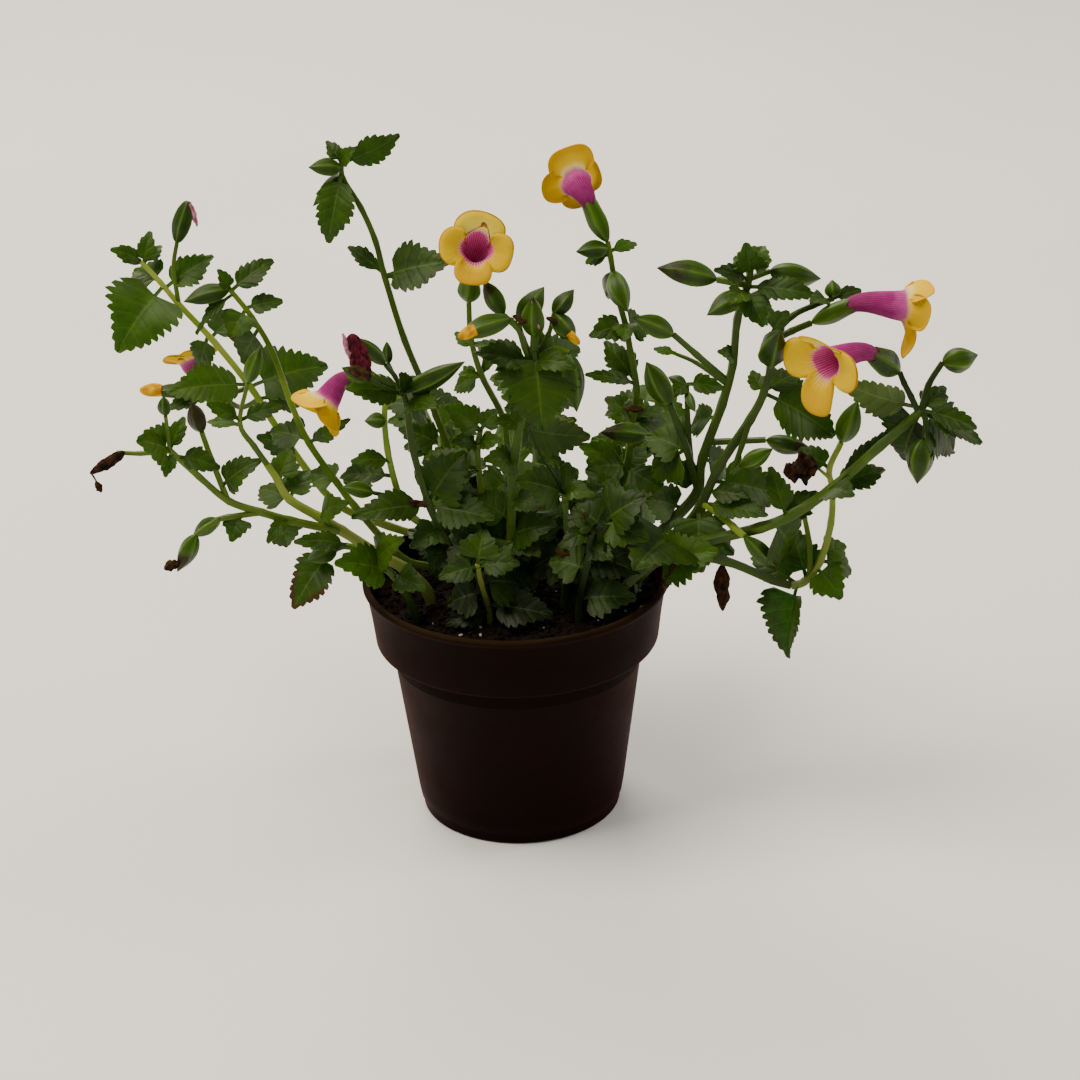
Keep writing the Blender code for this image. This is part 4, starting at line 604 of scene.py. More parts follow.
def torenia_leaf(name, dark, light, vein, dried, gloss):
    """Living leaf: thin waxy cuticle over quilted green tissue, paler veins, and brown where it dries."""
    made, add, shader = new_material(name, gloss, IOR=1.45, Specular_IOR_Level=0.22, Subsurface_Weight=0.2,
                                     Subsurface_Radius=(0.0006, 0.0014, 0.0001), Subsurface_Scale=1.0)
    where = add("TexCoord").outputs["Object"]
    spot = add("Attribute", attribute_name="leaf_place").outputs["Vector"]
    state = add("Attribute", attribute_name="leaf_state").outputs["Vector"]
    step, across, count = add("SeparateXYZ", spot).outputs
    tint, dryness, _ = add("SeparateXYZ", state).outputs
    out = add("Math", across, operation="ABSOLUTE")
    run = add("Math", step, count, operation="MULTIPLY")
    saw = add("Math", add("Math", out, -0.9, run, operation="MULTIPLY_ADD"), 0.5, operation="PINGPONG")
    side_vein = add("MapRange", saw, 0.0, 0.04, 0.6, 0.0)
    midrib = add("MapRange", out, 0.01, 0.06, 1.0, 0.0)
    veins = add("Math", side_vein, midrib, operation="MAXIMUM")
    cloud = add("TexNoise", where, 140.0, 8.0, 0.65)
    # The tint holds each leaf's own tone, less the painted shade given to low leaves.
    patch = add("Math", cloud, 1.6, tint, operation="MULTIPLY_ADD")
    green = add("Mix", add("MapRange", patch, 0.65, 1.95), dark, light, data_type="RGBA")
    lined = add("Mix", add("Math", veins, 0.32, operation="MULTIPLY"), green, vein, data_type="RGBA")
    wilt = add("Math", add("Math", out, step, operation="ADD"), cloud, operation="MULTIPLY")
    burnt = add("MapRange", add("Math", wilt, dryness, operation="ADD"), 1.05, 1.25, 0.0, 0.9)
    final = add("Mix", burnt, lined, dried, data_type="RGBA")
    puff = add("MapRange", saw, 0.0, 0.3, interpolation_type="SMOOTHSTEP")
    relief = add("Math", add("TexNoise", where, 1100.0, 3.0), 0.45, puff, operation="MULTIPLY_ADD")
    feed(shader, Base_Color=final, Normal=add("Bump", 0.45, 0.0003, Height=relief))
    return made


def torenia_stem():
    """Living stem: smooth and juicy, from yellow-green to olive, darker near the soil: partly a stain of age,
    partly painted shade.
    """
    made, add, shader = new_material("torenia_stem", 0.45, IOR=1.45, Specular_IOR_Level=0.25,
                                     Subsurface_Weight=0.2, Subsurface_Radius=(0.001, 0.0016, 0.0002),
                                     Subsurface_Scale=1.0)
    where = add("TexCoord").outputs["Object"]
    state = add("Attribute", attribute_name="leaf_state").outputs["Vector"]
    cloud = add("TexNoise", where, 60.0, 5.0)
    patch = add("Math", cloud, 0.8, add("SeparateXYZ", state), operation="MULTIPLY_ADD")
    tone = add("ValToRGB", add("MapRange", patch, 0.3, 1.5),
               stops=[(0.0, "#182804"), (0.45, "#3e5806"), (0.75, "#6a8420"), (1.0, "#8e9c40")])
    # Painted shade and stain: the stem darkens towards a near-black olive from 125 mm down to 85 mm.
    low_stain_and_shade = add("MapRange", add("SeparateXYZ", where).outputs["Z"], 0.125, 0.085, 0.0, 0.55)
    foot = add("Mix", low_stain_and_shade, tone, "#141a04", data_type="RGBA")
    feed(shader, Base_Color=foot, Normal=add("Bump", 0.2, 0.0002, Height=add("TexNoise", where, 500.0)))
    return made


def torenia_calyx():
    """Living calyx: smooth green skin, paler along its ribs, blotched purple-brown where it ages."""
    made, add, shader = new_material("torenia_calyx", 0.42, IOR=1.45, Specular_IOR_Level=0.25,
                                     Subsurface_Weight=0.15, Subsurface_Radius=(0.0008, 0.0014, 0.0002),
                                     Subsurface_Scale=1.0)
    spot = add("Attribute", attribute_name="leaf_place").outputs["Vector"]
    state = add("Attribute", attribute_name="leaf_state").outputs["Vector"]
    share, rib, _ = add("SeparateXYZ", spot).outputs
    tint, brown, _ = add("SeparateXYZ", state).outputs
    cloud = add("TexNoise", add("TexCoord").outputs["Object"], 150.0, 5.0)
    tone = add("MapRange", add("Math", cloud, 1.0, tint, operation="MULTIPLY_ADD"), 0.4, 1.6)
    green = add("Mix", tone, "#1a2c04", "#406404", data_type="RGBA")
    # The furrows between the ribs are darkened: partly dark seams, partly painted shade.
    sunk = add("Mix", add("MapRange", rib, 0.012, 0.0, 0.0, 0.3), green, "#101c02", data_type="RGBA")
    ribs = add("Mix", add("MapRange", rib, 0.35, 1.0, 0.0, 0.5), sunk, "#64842a", data_type="RGBA")
    mark = add("Math", add("MapRange", share, 0.2, 0.95, 0.0, 0.5), cloud, operation="ADD")
    blotch = add("MapRange", add("Math", mark, brown, operation="ADD"), 1.02, 1.2, 0.0, 0.85)
    feed(shader, Base_Color=add("Mix", blotch, ribs, "#241002", data_type="RGBA"))
    return made


def dried_tissue(name, dark, light, roughness=0.8):
    """Dried plant tissue: matt, brittle and wrinkled, with painted shade in its folds."""
    made, add, shader = new_material(name, roughness, Specular_IOR_Level=0.1)
    cloud = add("TexNoise", add("TexCoord").outputs["Object"], 420.0, 5.0)
    # Painted shade: the tone follows the same noise as the bump, so the sunken folds are darker.
    tone = add("ValToRGB", cloud, stops=[(0.35, dark), (0.68, light)])
    feed(shader, Base_Color=tone, Normal=add("Bump", 0.6, 0.0005, Height=cloud))
    return made


shoot_materials = [
    torenia_leaf("torenia_leaf", "#121e00", "#3a5a02", "#62802c", "#3c2006", 0.48),
    torenia_leaf("torenia_leaf_underside", "#28380e", "#52682a", "#78884a", "#4a2c10", 0.65),
    torenia_stem(),
    torenia_calyx(),
    dried_tissue("spent_flower_tissue", "#100a05", "#4c3418"),
    dried_tissue("faded_pink_petal", "#a04868", "#d09cac", 0.6),
]
cups = {}


def leafy_shoot(node, tint, root, depth, thick, stem_tint, stem, twigs=(), cup=None, buds=(), leaves=(),
                shade=(), scraps=()):
    """Draws one shoot over its CAD node, from places on the board.

    A twig starts at the place nearest its first one. The other rows give a base, a tip, a width
    and how far the tip lies behind the base, then for a leaf its turn, dryness, arch and fold,
    and for a bud its brownness and form. The cup is the calyx that holds a bloom, which stands
    at a depth of its own. Shade leaves are those that the solid leaves out. Any other leaf or
    bud takes its tip's depth from the solid.
    """
    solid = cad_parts[node].data
    tree = KDTree(len(solid.vertices))
    for vertex in solid.vertices:
        tree.insert(vertex.co / MM, vertex.index)
    tree.balance()
    draw = random.Random(node)
    shape = bmesh.new()
    shape.verts.layers.float_vector.new("leaf_place")
    shape.verts.layers.float_vector.new("leaf_state")
    lines = [stem_line(root, stem, depth)]
    draw_stalk(shape, [Vector((*root, HOLE_LOW + GAP)), *(place(*spot) for spot in lines[0])], thick,
               stem_tint)

    def twig(places, toward, twig_thick=(2.0, 1.7), twig_tint=tint):
        start = nearest(lines, *places[0])
        lines.append(with_depths([start[:2], *places[1:]], start[2], start[2] + toward))
        draw_stalk(shape, [place(*spot) for spot in lines[-1]], twig_thick, twig_tint)

    def solid_tip(across, up, start, toward):
        """The tip whose depth the solid has, among those that keep a leaf or bud clear."""
        sign = 1.0 if toward >= 0 else -1.0
        ends = [place(across, up, start[2] + toward + sign * step) for step in DEPTH_STEPS]
        return min(ends, key=lambda end: round(tree.find(end)[2]))

    def bud(across, up, tip_across, tip_up, width, toward=0.0, brown=0.0, kind="beaked"):
        start = nearest(lines, across, up)
        end = solid_tip(tip_across, tip_up, start, toward)
        green = 0.6 * draw.random() + 0.4 * tint
        draw_bud(shape, place(*start), end, width, kind, green, brown + draw.uniform(-0.15, 0.1))

    def leaf(across, up, tip_across, tip_up, width, toward, turn=0.0, dry=0.0, arch=0.07, fold=0.22,
             seated=True):
        start = nearest(lines, across, up)
        foot = place(*start)
        end = (solid_tip(tip_across, tip_up, start, toward) if seated
               else place(tip_across, tip_up, start[2] + toward))
        normal = leaf_normal(foot, end, turn)
        real = width / max(0.6, abs(normal.dot((EYE - foot).normalized())))
        young = max(0.0, 0.4 - (end - foot).length * 0.025)
        # Painted shade: a low leaf in the middle of the pot is darkened more the lower its tip lies.
        deep = max(0.0, PAINTED_SHADE_TOP - end.z) * 0.012 if math.hypot(end.x, end.y) < PAINTED_SHADE_R else 0.0
        green = 0.5 * draw.random() + 0.5 * tint + young - deep
        draw_leaf(shape, foot, end, real, normal, arch, fold, green, dry + draw.uniform(0.0, 0.22), draw)

    def scrap(across, up, tip_across, tip_up, width, toward=0.0, index=SPENT):
        depth_of = nearest(lines, across, up)[2] + toward
        draw_scrap(shape, place(across, up, depth_of), place(tip_across, tip_up, depth_of), width, index)

    for row in twigs:
        twig(*row)
    for row in buds:
        bud(*row)
    for row in leaves:
        leaf(*row)
    for row in shade:
        leaf(*row, fold=SHADE_FOLD, seated=False)
    if cup:
        bloom, across, up, tip_across, tip_up, width, toward = cup
        start = nearest(lines, across, up)
        foot, end = place(*start), place(tip_across, tip_up, start[2] + toward * 0.35)
        draw_calyx(shape, foot, end, width, draw.random())
        cups[bloom] = (foot, end, start[2] + toward)
    for row in scraps:
        scrap(*row)
    piece = new_object(node.replace("shoot", "leafy_shoot"), shape, shoot_materials)
    piece.data.set_sharp_from_angle(angle=math.radians(55))
    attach(piece, "root")
    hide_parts(node)


# Left shoots
# Four living stems that lean out over the lip to the left. They fork into thin stalks with small
# leaves, buds and a bloom, and their oldest parts have dried brown.

# The longest, rooted behind the pot's middle, with a far bloom and one broad leaf seen face on.
leafy_shoot(
    "shoot_far_left", 0.45, (-22, 30), 62, (3.6, 2), 0.9,
    stem=[(-45, 111), (-63.7, 121), (-80.6, 147), (-90.6, 165.6), (-102, 182.6), (-113, 196.5), (-119, 205),
        (-125, 212.6)],
    twigs=[([(-113, 197), (-114, 210), (-112, 220)], 2), ([(-90.6, 165.6), (-100, 163), (-112, 164.2)], -6),
        ([(-88, 161), (-94, 158), (-99, 160.5)], 6)],
    cup=("bloom_far_left", -99, 160.5, -102.5, 166, 6.4, 10),
    buds=[(-112, 219.4, -107.3, 233.6, 7.4, 0, 0, "blunt"), (-112, 164.2, -123.5, 164.8, 5.6, 0, 0, "blunt"),
        (-125, 212, -131.5, 213.5, 3.2)],
    leaves=[(-118, 203.5, -136.3, 180.3, 26, -14), (-117, 203, -100, 214, 11, 6),
        (-119, 205, -128, 209.5, 9, 10), (-124, 211.5, -121, 223.5, 7.5, 4),
        (-125, 212.6, -134.5, 217.6, 5.5, -4), (-124, 212, -117.5, 218, 4.5, 8),
        (-91, 166.3, -119.5, 164.7, 14, -12), (-90.6, 165.6, -63, 173.8, 19, 10),
        (-88, 161, -71.5, 161, 9, 12), (-105, 163.5, -120, 158.4, 6, -8), (-103, 184, -93, 193, 8, 16),
        (-104, 185, -108, 172, 8, 18)],
    shade=[(-76, 140, -89, 147, 11, -6, 0, 0.2)],
    scraps=[(-106.6, 233, -104.8, 224.8, 2.6, -1, FADED)])

# One that rises beside it, with a plump bud and a few narrow leaves turned edge on.
leafy_shoot(
    "shoot_left_upper", 0.5, (-29, 12), 34, (3.4, 2), 0.6,
    stem=[(-41, 98.5), (-56.5, 119), (-62.4, 128.4), (-71.5, 144), (-77, 159.6), (-82, 178), (-88.5, 191.6),
        (-95.4, 201.8)],
    buds=[(-95.4, 201.8, -111.6, 197.6, 7.6, -5)],
    leaves=[(-95, 201, -79.8, 212.3, 8.5, 8), (-95.4, 201.8, -98.7, 209, 4.5, -3),
        (-94, 200, -108.5, 186, 3.2, -6, 30), (-90, 194.5, -96.5, 183.8, 12, -6),
        (-90, 195, -77.4, 197, 7, 5), (-86.5, 187, -92.5, 174.5, 9, 8), (-71.5, 144, -57, 152.3, 5, -6, 35),
        (-72, 145, -85, 149, 9, 10), (-60, 124, -50, 131, 7, 12)],
    shade=[(-62, 128, -72, 133, 9, 8)],
    scraps=[(-80, 172, -77.5, 161.5, 2.6, 6, FADED)])

# A stout one that lies over the lip and forks five times, with buds and leaves at each fork.
leafy_shoot(
    "shoot_left_low", 0.6, (-31, -8), -2, (4.8, 2.6), 1,
    stem=[(-40, 94), (-48.4, 99.5), (-61.5, 109.5), (-69.4, 115.2), (-79.6, 122.4), (-83.6, 130.5),
        (-86.7, 136)],
    twigs=[([(-86.7, 136), (-90.7, 143), (-95.2, 152), (-91.5, 167)], -6, (2.2, 1.7)),
        ([(-61, 109), (-79.6, 114), (-89.6, 117.5), (-101.2, 122.3), (-111, 132),
         (-120.5, 142.3)], -16, (3, 2.3)), ([(-120.5, 142.3), (-121, 155.5)], -3, (1.7, 1.5)),
        ([(-120.5, 142), (-131, 141.4), (-139, 142)], -6, (1.9, 1.5)),
        ([(-101.5, 122.5), (-105.7, 137), (-108.8, 149)], 2, (2.4, 2)),
        ([(-89.6, 117.5), (-101.6, 116), (-105, 115.3)], -6, (2.2, 2)),
        ([(-105, 115.3), (-110, 112), (-113.5, 109.5)], -2, (2.2, 1.8))],
    buds=[(-91.5, 167, -86, 180.7, 6.4, 0, 0.05), (-108.8, 148.8, -111.6, 160.4, 7, 0, 0.75),
        (-121, 155.5, -121.2, 163, 5), (-105, 115.3, -115, 108.8, 6.2, 0, 0.2),
        (-113.5, 109.5, -121.5, 94.8, 7, 0, 0.35)],
    leaves=[(-95, 153, -79.4, 158.8, 6.5, 4, 0, 0.2), (-95, 153, -106.5, 159.7, 5, -5),
        (-95, 151, -106.5, 152.8, 4, 5), (-120.5, 142.3, -114.4, 155, 6.5, 5),
        (-120.5, 142.3, -132, 146.5, 11, -8), (-120.5, 141, -123, 132, 5.5, -4),
        (-118, 140, -103, 135.4, 8.5, 6), (-102.5, 128, -90, 138, 8.5, -5),
        (-97, 116.3, -101.5, 106.5, 9.5, -6), (-80, 116, -88.5, 105.5, 5, -8, 0, 0.3, 0.2),
        (-79.6, 122.4, -72, 134, 8, 12), (-69, 115, -60, 121, 6, -10)],
    shade=[(-83, 129, -78, 142, 10, 10), (-79, 121.5, -90, 127, 9, 12, 0, 0.25),
        (-84, 115.5, -81, 103.5, 9, 5, 0, 0.3)],
    scraps=[(-120.6, 98.6, -126, 96.4, 4.6, -2), (-149, 134.6, -147, 130.4, 0.8),
        (-147.6, 131, -145.8, 127, 3)])

# A short one bent over the lip, whose large, half browned leaf hangs against the rim.
leafy_shoot(
    "shoot_left_rim", 0.5, (-36, -22), -26, (3, 2), 0.5,
    stem=[(-43, 90), (-53, 99.5), (-60, 103.5), (-66, 101.5)],
    buds=[(-64, 102.3, -74.5, 98, 7.5, -4)],
    leaves=[(-66, 101.5, -81, 79, 14.5, -8, 0, 0.35), (-60, 103.5, -77.5, 106.6, 5.5, -6),
        (-46, 93, -64, 97.5, 10, -8), (-50, 96.5, -40, 106, 8, -10), (-44, 91, -33, 86, 8, -9)])


# Middle shoots
# Eight living stems rooted round the pot's axis, upright and close together. Their leaves fill
# the space above the mix, and the tallest stand clear of them.

# The tallest, straight and dark, topped by two buds and a fan of leaves, one hanging down.
leafy_shoot(
    "shoot_tall", 0.35, (-9, 19), 30, (3.1, 2), 0.35,
    stem=[(-14, 112), (-23, 141.8), (-28, 158.3), (-36.2, 181.7), (-42, 205), (-44.6, 218), (-49, 230),
        (-54.4, 240.2), (-54.8, 246)],
    buds=[(-54.8, 244, -66, 244.6, 6.8, -4), (-54.4, 242, -65.3, 230.8, 6, 5)],
    leaves=[(-54.8, 246, -34.6, 255.2, 9.5, 6, 50), (-54.8, 246, -59.4, 254, 5, 4),
        (-54.6, 243, -60.8, 217.6, 13.5, -9), (-54.8, 246, -49.5, 251, 4.5, -4),
        (-42.2, 206, -54, 216, 5.5, 8), (-42, 205, -18.6, 210, 14.5, -8), (-42, 205, -29.5, 203, 5.5, 6),
        (-23, 141.8, -12, 152, 8, 14)])

# Two side by side in front, under a cluster of buds and one bloom that hangs down.
leafy_shoot(
    "shoot_left_centre", 0.2, (-15, -10), -14, (3.4, 2.4), 0.2,
    stem=[(-22, 99), (-29.8, 118), (-35, 140.6), (-36.5, 157.6), (-37.5, 162)],
    twigs=[
        ([(-25, 106), (-36, 114), (-40.4, 122), (-44, 141), (-43.9, 157.6), (-39, 161)], 2, (2.6, 2.2), 0.8),
        ([(-37.5, 161), (-42.3, 173.5)], 4, (1.6, 1.4)),
        ([(-37.5, 161), (-40, 168), (-43.2, 172.6)], -5, (1.8, 1.7)),
        ([(-38, 161), (-44, 164), (-49, 167)], -9, (1.8, 1.5)),
        ([(-38, 161.5), (-42, 166.5), (-46, 168.5)], 9, (1.9, 1.8)),
        ([(-40.4, 122), (-49.6, 124)], -6, (1.7, 1.5))],
    cup=("bloom_left", -46, 168.5, -55.5, 168, 6.4, 0),
    buds=[(-37.5, 162, -15.4, 173.2, 7.6, -6), (-42.3, 173, -42.4, 181.4, 4),
        (-43.2, 172.4, -52.6, 183, 5.6, -2), (-49, 167, -58.6, 172, 5.4, -3),
        (-44, 151.5, -51.6, 151.7, 6, -3), (-49.6, 124, -61, 126.6, 6, -3)],
    leaves=[(-37.5, 161, -57.2, 164.6, 9.5, -14), (-37.5, 162, -33, 168.5, 5, 4),
        (-37.5, 162, -38.5, 169.5, 4.5, -5), (-36.6, 158, -26, 156.5, 7, -9), (-36.6, 158, -29, 151, 6, 8),
        (-43, 136, -56.5, 137, 5.5, -6), (-42.5, 130, -62, 131.5, 8, 8), (-30, 118.5, -57.5, 115.5, 9.5, -9),
        (-30, 118, -7, 112.5, 12.5, -9), (-30.5, 120, -17, 139.5, 19, 6), (-26, 109, -37, 103, 9, -10),
        (-24, 104, -31, 93, 9, -8), (-23, 102, -38, 109, 12, 10)],
    scraps=[(-41, 120.5, -31, 119, 3.6, -5), (-56, 171.5, -48.5, 168.5, 5, -10),
        (-57.4, 184.6, -55, 174, 2.4, -9, FADED)])

# A thin one, nearly bare of leaves, that holds up the bloom that faces the viewer.
leafy_shoot(
    "shoot_bloom_centre", 0.5, (4, 16), 2, (3, 2.1), 0.5,
    stem=[(1.5, 118), (-1.5, 140), (-3, 152), (-10, 168), (-13.2, 182), (-13.5, 195)],
    cup=("bloom_centre", -13.5, 195, -12.8, 203.5, 8.4, -12),
    leaves=[(-10, 168, -18, 168.3, 3, -3), (-10, 168, -5.5, 175.5, 3.5, 5), (-10, 167.6, -20, 163, 6.5, 7),
        (-12.6, 178, -18.8, 184, 4.5, 5), (1, 122, 14, 127, 8, 12), (1, 120, -12, 129, 8, 12),
        (1.5, 118, 16, 134, 14, 14), (0.5, 128, -15, 117, 13, 14)])

# A short one in the thick of the plant.
leafy_shoot(
    "shoot_centre_left", 0.5, (-10, 3), -6, (3, 2.2), 0.5,
    stem=[(-10, 109), (-11.5, 125), (-12.2, 140), (-11, 147)],
    leaves=[(-11, 147, -22.5, 156.6, 8.5, -4), (-11, 147, -20.8, 149, 6.5, 6),
        (-12, 142, -21.5, 142.8, 5, -7), (-11, 147, -5, 154.5, 7, 8), (-12, 142, -3.5, 143, 4.5, -6),
        (-11.8, 132, -28, 120.5, 5, -11, 0, 0, 0.2), (-11.8, 132, -32.5, 136.5, 11, 8),
        (-10.4, 113, -27, 117, 13, -12), (-10.2, 110, -20, 101, 13, -16), (-10.4, 113, -2, 104, 9, -10)],
    shade=[(-14, 104, -30, 96, 15, 6), (-14, 104, -32, 112, 15, 9), (-13, 100, -6, 88, 12, 6),
        (-12, 112, -26, 121, 12, 12)])

# The thickest. Seven ribbed buds crowd its top, over the broad leaf that faces the viewer.
leafy_shoot(
    "shoot_centre", 0.5, (-4, -8), -14, (4, 3.4), 0.5,
    stem=[(-1.5, 104), (0, 130), (3, 150), (6.5, 162), (8, 171), (9, 183)],
    twigs=[([(7.8, 170), (5.2, 178), (3.4, 184.5), (0.4, 188.4)], -5, (2.3, 2)),
        ([(8, 173), (5, 181), (3.4, 187)], 7, (2, 1.9)),
        ([(3.4, 184.5), (1.2, 187), (-1.6, 190)], 5, (1.9, 1.7)),
        ([(8.2, 173), (13.5, 182), (15.6, 190)], 5), ([(8, 171.5), (15, 177), (20.5, 175.5)], -4, (2.1, 2))],
    buds=[(9, 181.5, 8.6, 196.5, 8.6, -4), (3.4, 187, 12.6, 200, 8.8, 3),
        (0.4, 188.4, -15.4, 183.2, 8, -5, 0, "blunt"), (-1.6, 190, -8.2, 203, 7.2, 3, 0.2),
        (15.6, 189.5, 22.8, 198.8, 6.8, 2), (15.6, 189.8, 22, 181.2, 7.8, -5, 0, "blunt"),
        (20.5, 175.5, 23, 153, 9, -3)],
    leaves=[(7.8, 178, 11, 146, 27, -12, 0, 0, 0.1, 0.12), (7.8, 170.5, -12.8, 175.8, 7.5, -6, 20),
        (8, 172, -12.6, 180.6, 7, 9), (8, 171, 22.5, 170.5, 5.5, -12, 0, 0, 0.16),
        (8.2, 174, 25, 177, 10, 12), (3, 149, -6.2, 150.5, 5.5, -4), (3, 150, 0.6, 159, 4.5, -5),
        (2.6, 148, 27.6, 143.4, 13.5, 4, 180), (0.4, 134, -9, 136.5, 7, -9),
        (-1.4, 106, 14.5, 110.5, 11.5, -9), (-1.4, 105, 9, 98, 8.5, -12), (-0.6, 120, 12, 117, 8, -9)],
    shade=[(-1.5, 104, -21, 108, 14, 9), (-1.5, 106, 14, 119, 15, 14), (-1.8, 98, 13, 92, 13, 9),
        (-2.2, 94, -15, 86, 14, 10), (-1, 112, -17, 123, 12, 8), (-2, 90, 9, 79, 12, 12),
        (-1.2, 108, 5, 128, 13, 16)],
    scraps=[(8.2, 194.5, 10.6, 184.5, 1.8, -10, FADED), (1.5, 189.5, 6.5, 187, 3.2, -7),
        (13, 188.6, 17.5, 186.6, 2.6, -4)])

# A short one right of the middle, with a thread-like stalk that climbs from its top.
leafy_shoot(
    "shoot_centre_right", 0.5, (17, -13), -14, (3.2, 2.4), 0.5,
    stem=[(19, 94), (18.6, 110), (18.2, 122)],
    twigs=[([(18.2, 121), (14, 130), (9.5, 138), (6, 148.5)], -12, (1.1, 0.7), -0.6)],
    leaves=[(18.2, 122, 0.8, 127.6, 13, -7), (18.2, 122, 19.6, 134, 8.5, 8),
        (18.2, 121, 28.4, 121.5, 5.5, -9, 0, 0, 0.18), (18.6, 112, 7, 118.5, 8, 9),
        (18.8, 97, 11.5, 86, 8, -6), (18.9, 92, 29, 88, 9, -12), (18.4, 116, 33, 125, 13, 8)],
    shade=[(19, 100, 4, 91, 13, 6), (19, 98, 34, 91, 14, 9), (19, 108, 6, 112, 12, 8),
        (19, 112, 33, 118, 13, 12), (19, 104, 30, 106, 12, 3), (19, 92, 24, 80, 11, 9)],
    scraps=[(14.5, 100, 21.5, 97.5, 3.6, -8)])

# A low one close to the front lip, with rounded leaves above the soil and one on it.
leafy_shoot(
    "shoot_front_right", 0, (22, -25), -28, (3, 2), 0,
    stem=[(23.5, 84), (26, 95), (27.5, 106), (33, 111)],
    leaves=[(24, 80, 43, 80.5, 13, -4), (31, 109, 21.4, 117.6, 14, 4), (33, 111, 46, 120.5, 15, -4),
        (32, 110.5, 47.5, 103.5, 14, -8), (27.5, 106, 15.4, 100.4, 6, -7, 0, 0, 0.22),
        (27, 100, 35, 96, 8, -6)],
    shade=[(27, 98, 44, 90, 14, -4), (26, 92, 12, 96, 13, 6), (30, 106, 21, 118, 14, 9)])

# The smallest, at the very front, with leaves spread flat over the soil and the lip.
leafy_shoot(
    "shoot_front", -0.1, (-9.4, -24), -28, (2.4, 2), 1.1,
    stem=[(-10.6, 80), (-12.6, 88), (-13.6, 95)],
    leaves=[(-13.4, 94, -28, 90, 9.5, -3), (-13.6, 95, -11, 109, 15, 6), (-13.4, 94, 1.5, 95, 8, -3),
        (-10, 76, -26.5, 71.6, 8.5, -4), (-10.4, 78.5, 13, 74, 13, -5), (-11.5, 84, -25.5, 79.5, 14, 8)],
    shade=[(-13.4, 95, -1, 103, 13, 6), (-13, 93, -24, 101, 12, 8), (-12, 88, 3, 87, 14, 9),
        (-11, 82, -20, 88, 12, 12)])


# Right shoots
# Five living stems rooted right of the axis, most of them leaning to the right. They carry the
# largest buds and three blooms, and the longest runs far out over the lip.

# A tall one with swollen joints that holds up the bloom seen from behind, over drooping buds.
leafy_shoot(
    "shoot_bloom_top", 0.5, (21, 16), 26, (3.4, 2.1), 0.5,
    stem=[(31, 108), (40, 131), (42.3, 149), (44, 161), (42, 175), (40.4, 185), (37.5, 197), (35.5, 210),
        (34.6, 215.6)],
    twigs=[([(41.5, 139), (45, 141), (48.4, 143.5)], -7, (2, 1.8))],
    cup=("bloom_top", 34.6, 215.6, 29, 228.6, 7.4, 9),
    buds=[(34.8, 213, 23.6, 212.3, 7, -4), (36.8, 205.5, 41.2, 189.8, 8.4, -6),
        (36.4, 204.5, 34.6, 194.8, 8, 5), (48.4, 143.5, 31, 145.2, 8, -5, 0.25)],
    leaves=[(35.3, 212, 44.8, 215.2, 4.2, 5), (35.3, 211, 26.8, 208.2, 4.2, 4),
        (40.4, 185, 27.8, 181.6, 9, -6), (40.4, 185, 48, 184, 8.5, 6), (40.4, 186, 40.2, 179, 5.5, -7),
        (43.8, 164, 33, 179.6, 10, 8), (43.8, 163, 26.4, 167.4, 4.2, -7), (42.4, 150, 35.4, 151, 4, -5),
        (42.4, 150, 53.8, 154, 4, 7), (42.4, 149, 54.6, 148.5, 7, 9), (42, 147, 42, 158, 6.5, 10),
        (40, 132, 26.2, 131.6, 8.5, -7), (40, 131, 54.2, 121, 9.5, -9), (39, 129, 29, 123.5, 8, 8),
        (40, 131, 47, 139, 7, 11), (34, 115, 21, 103, 15, 10), (37, 123, 51, 112, 14, 12)],
    scraps=[(40, 154, 46.5, 153.6, 3.2, -5)])

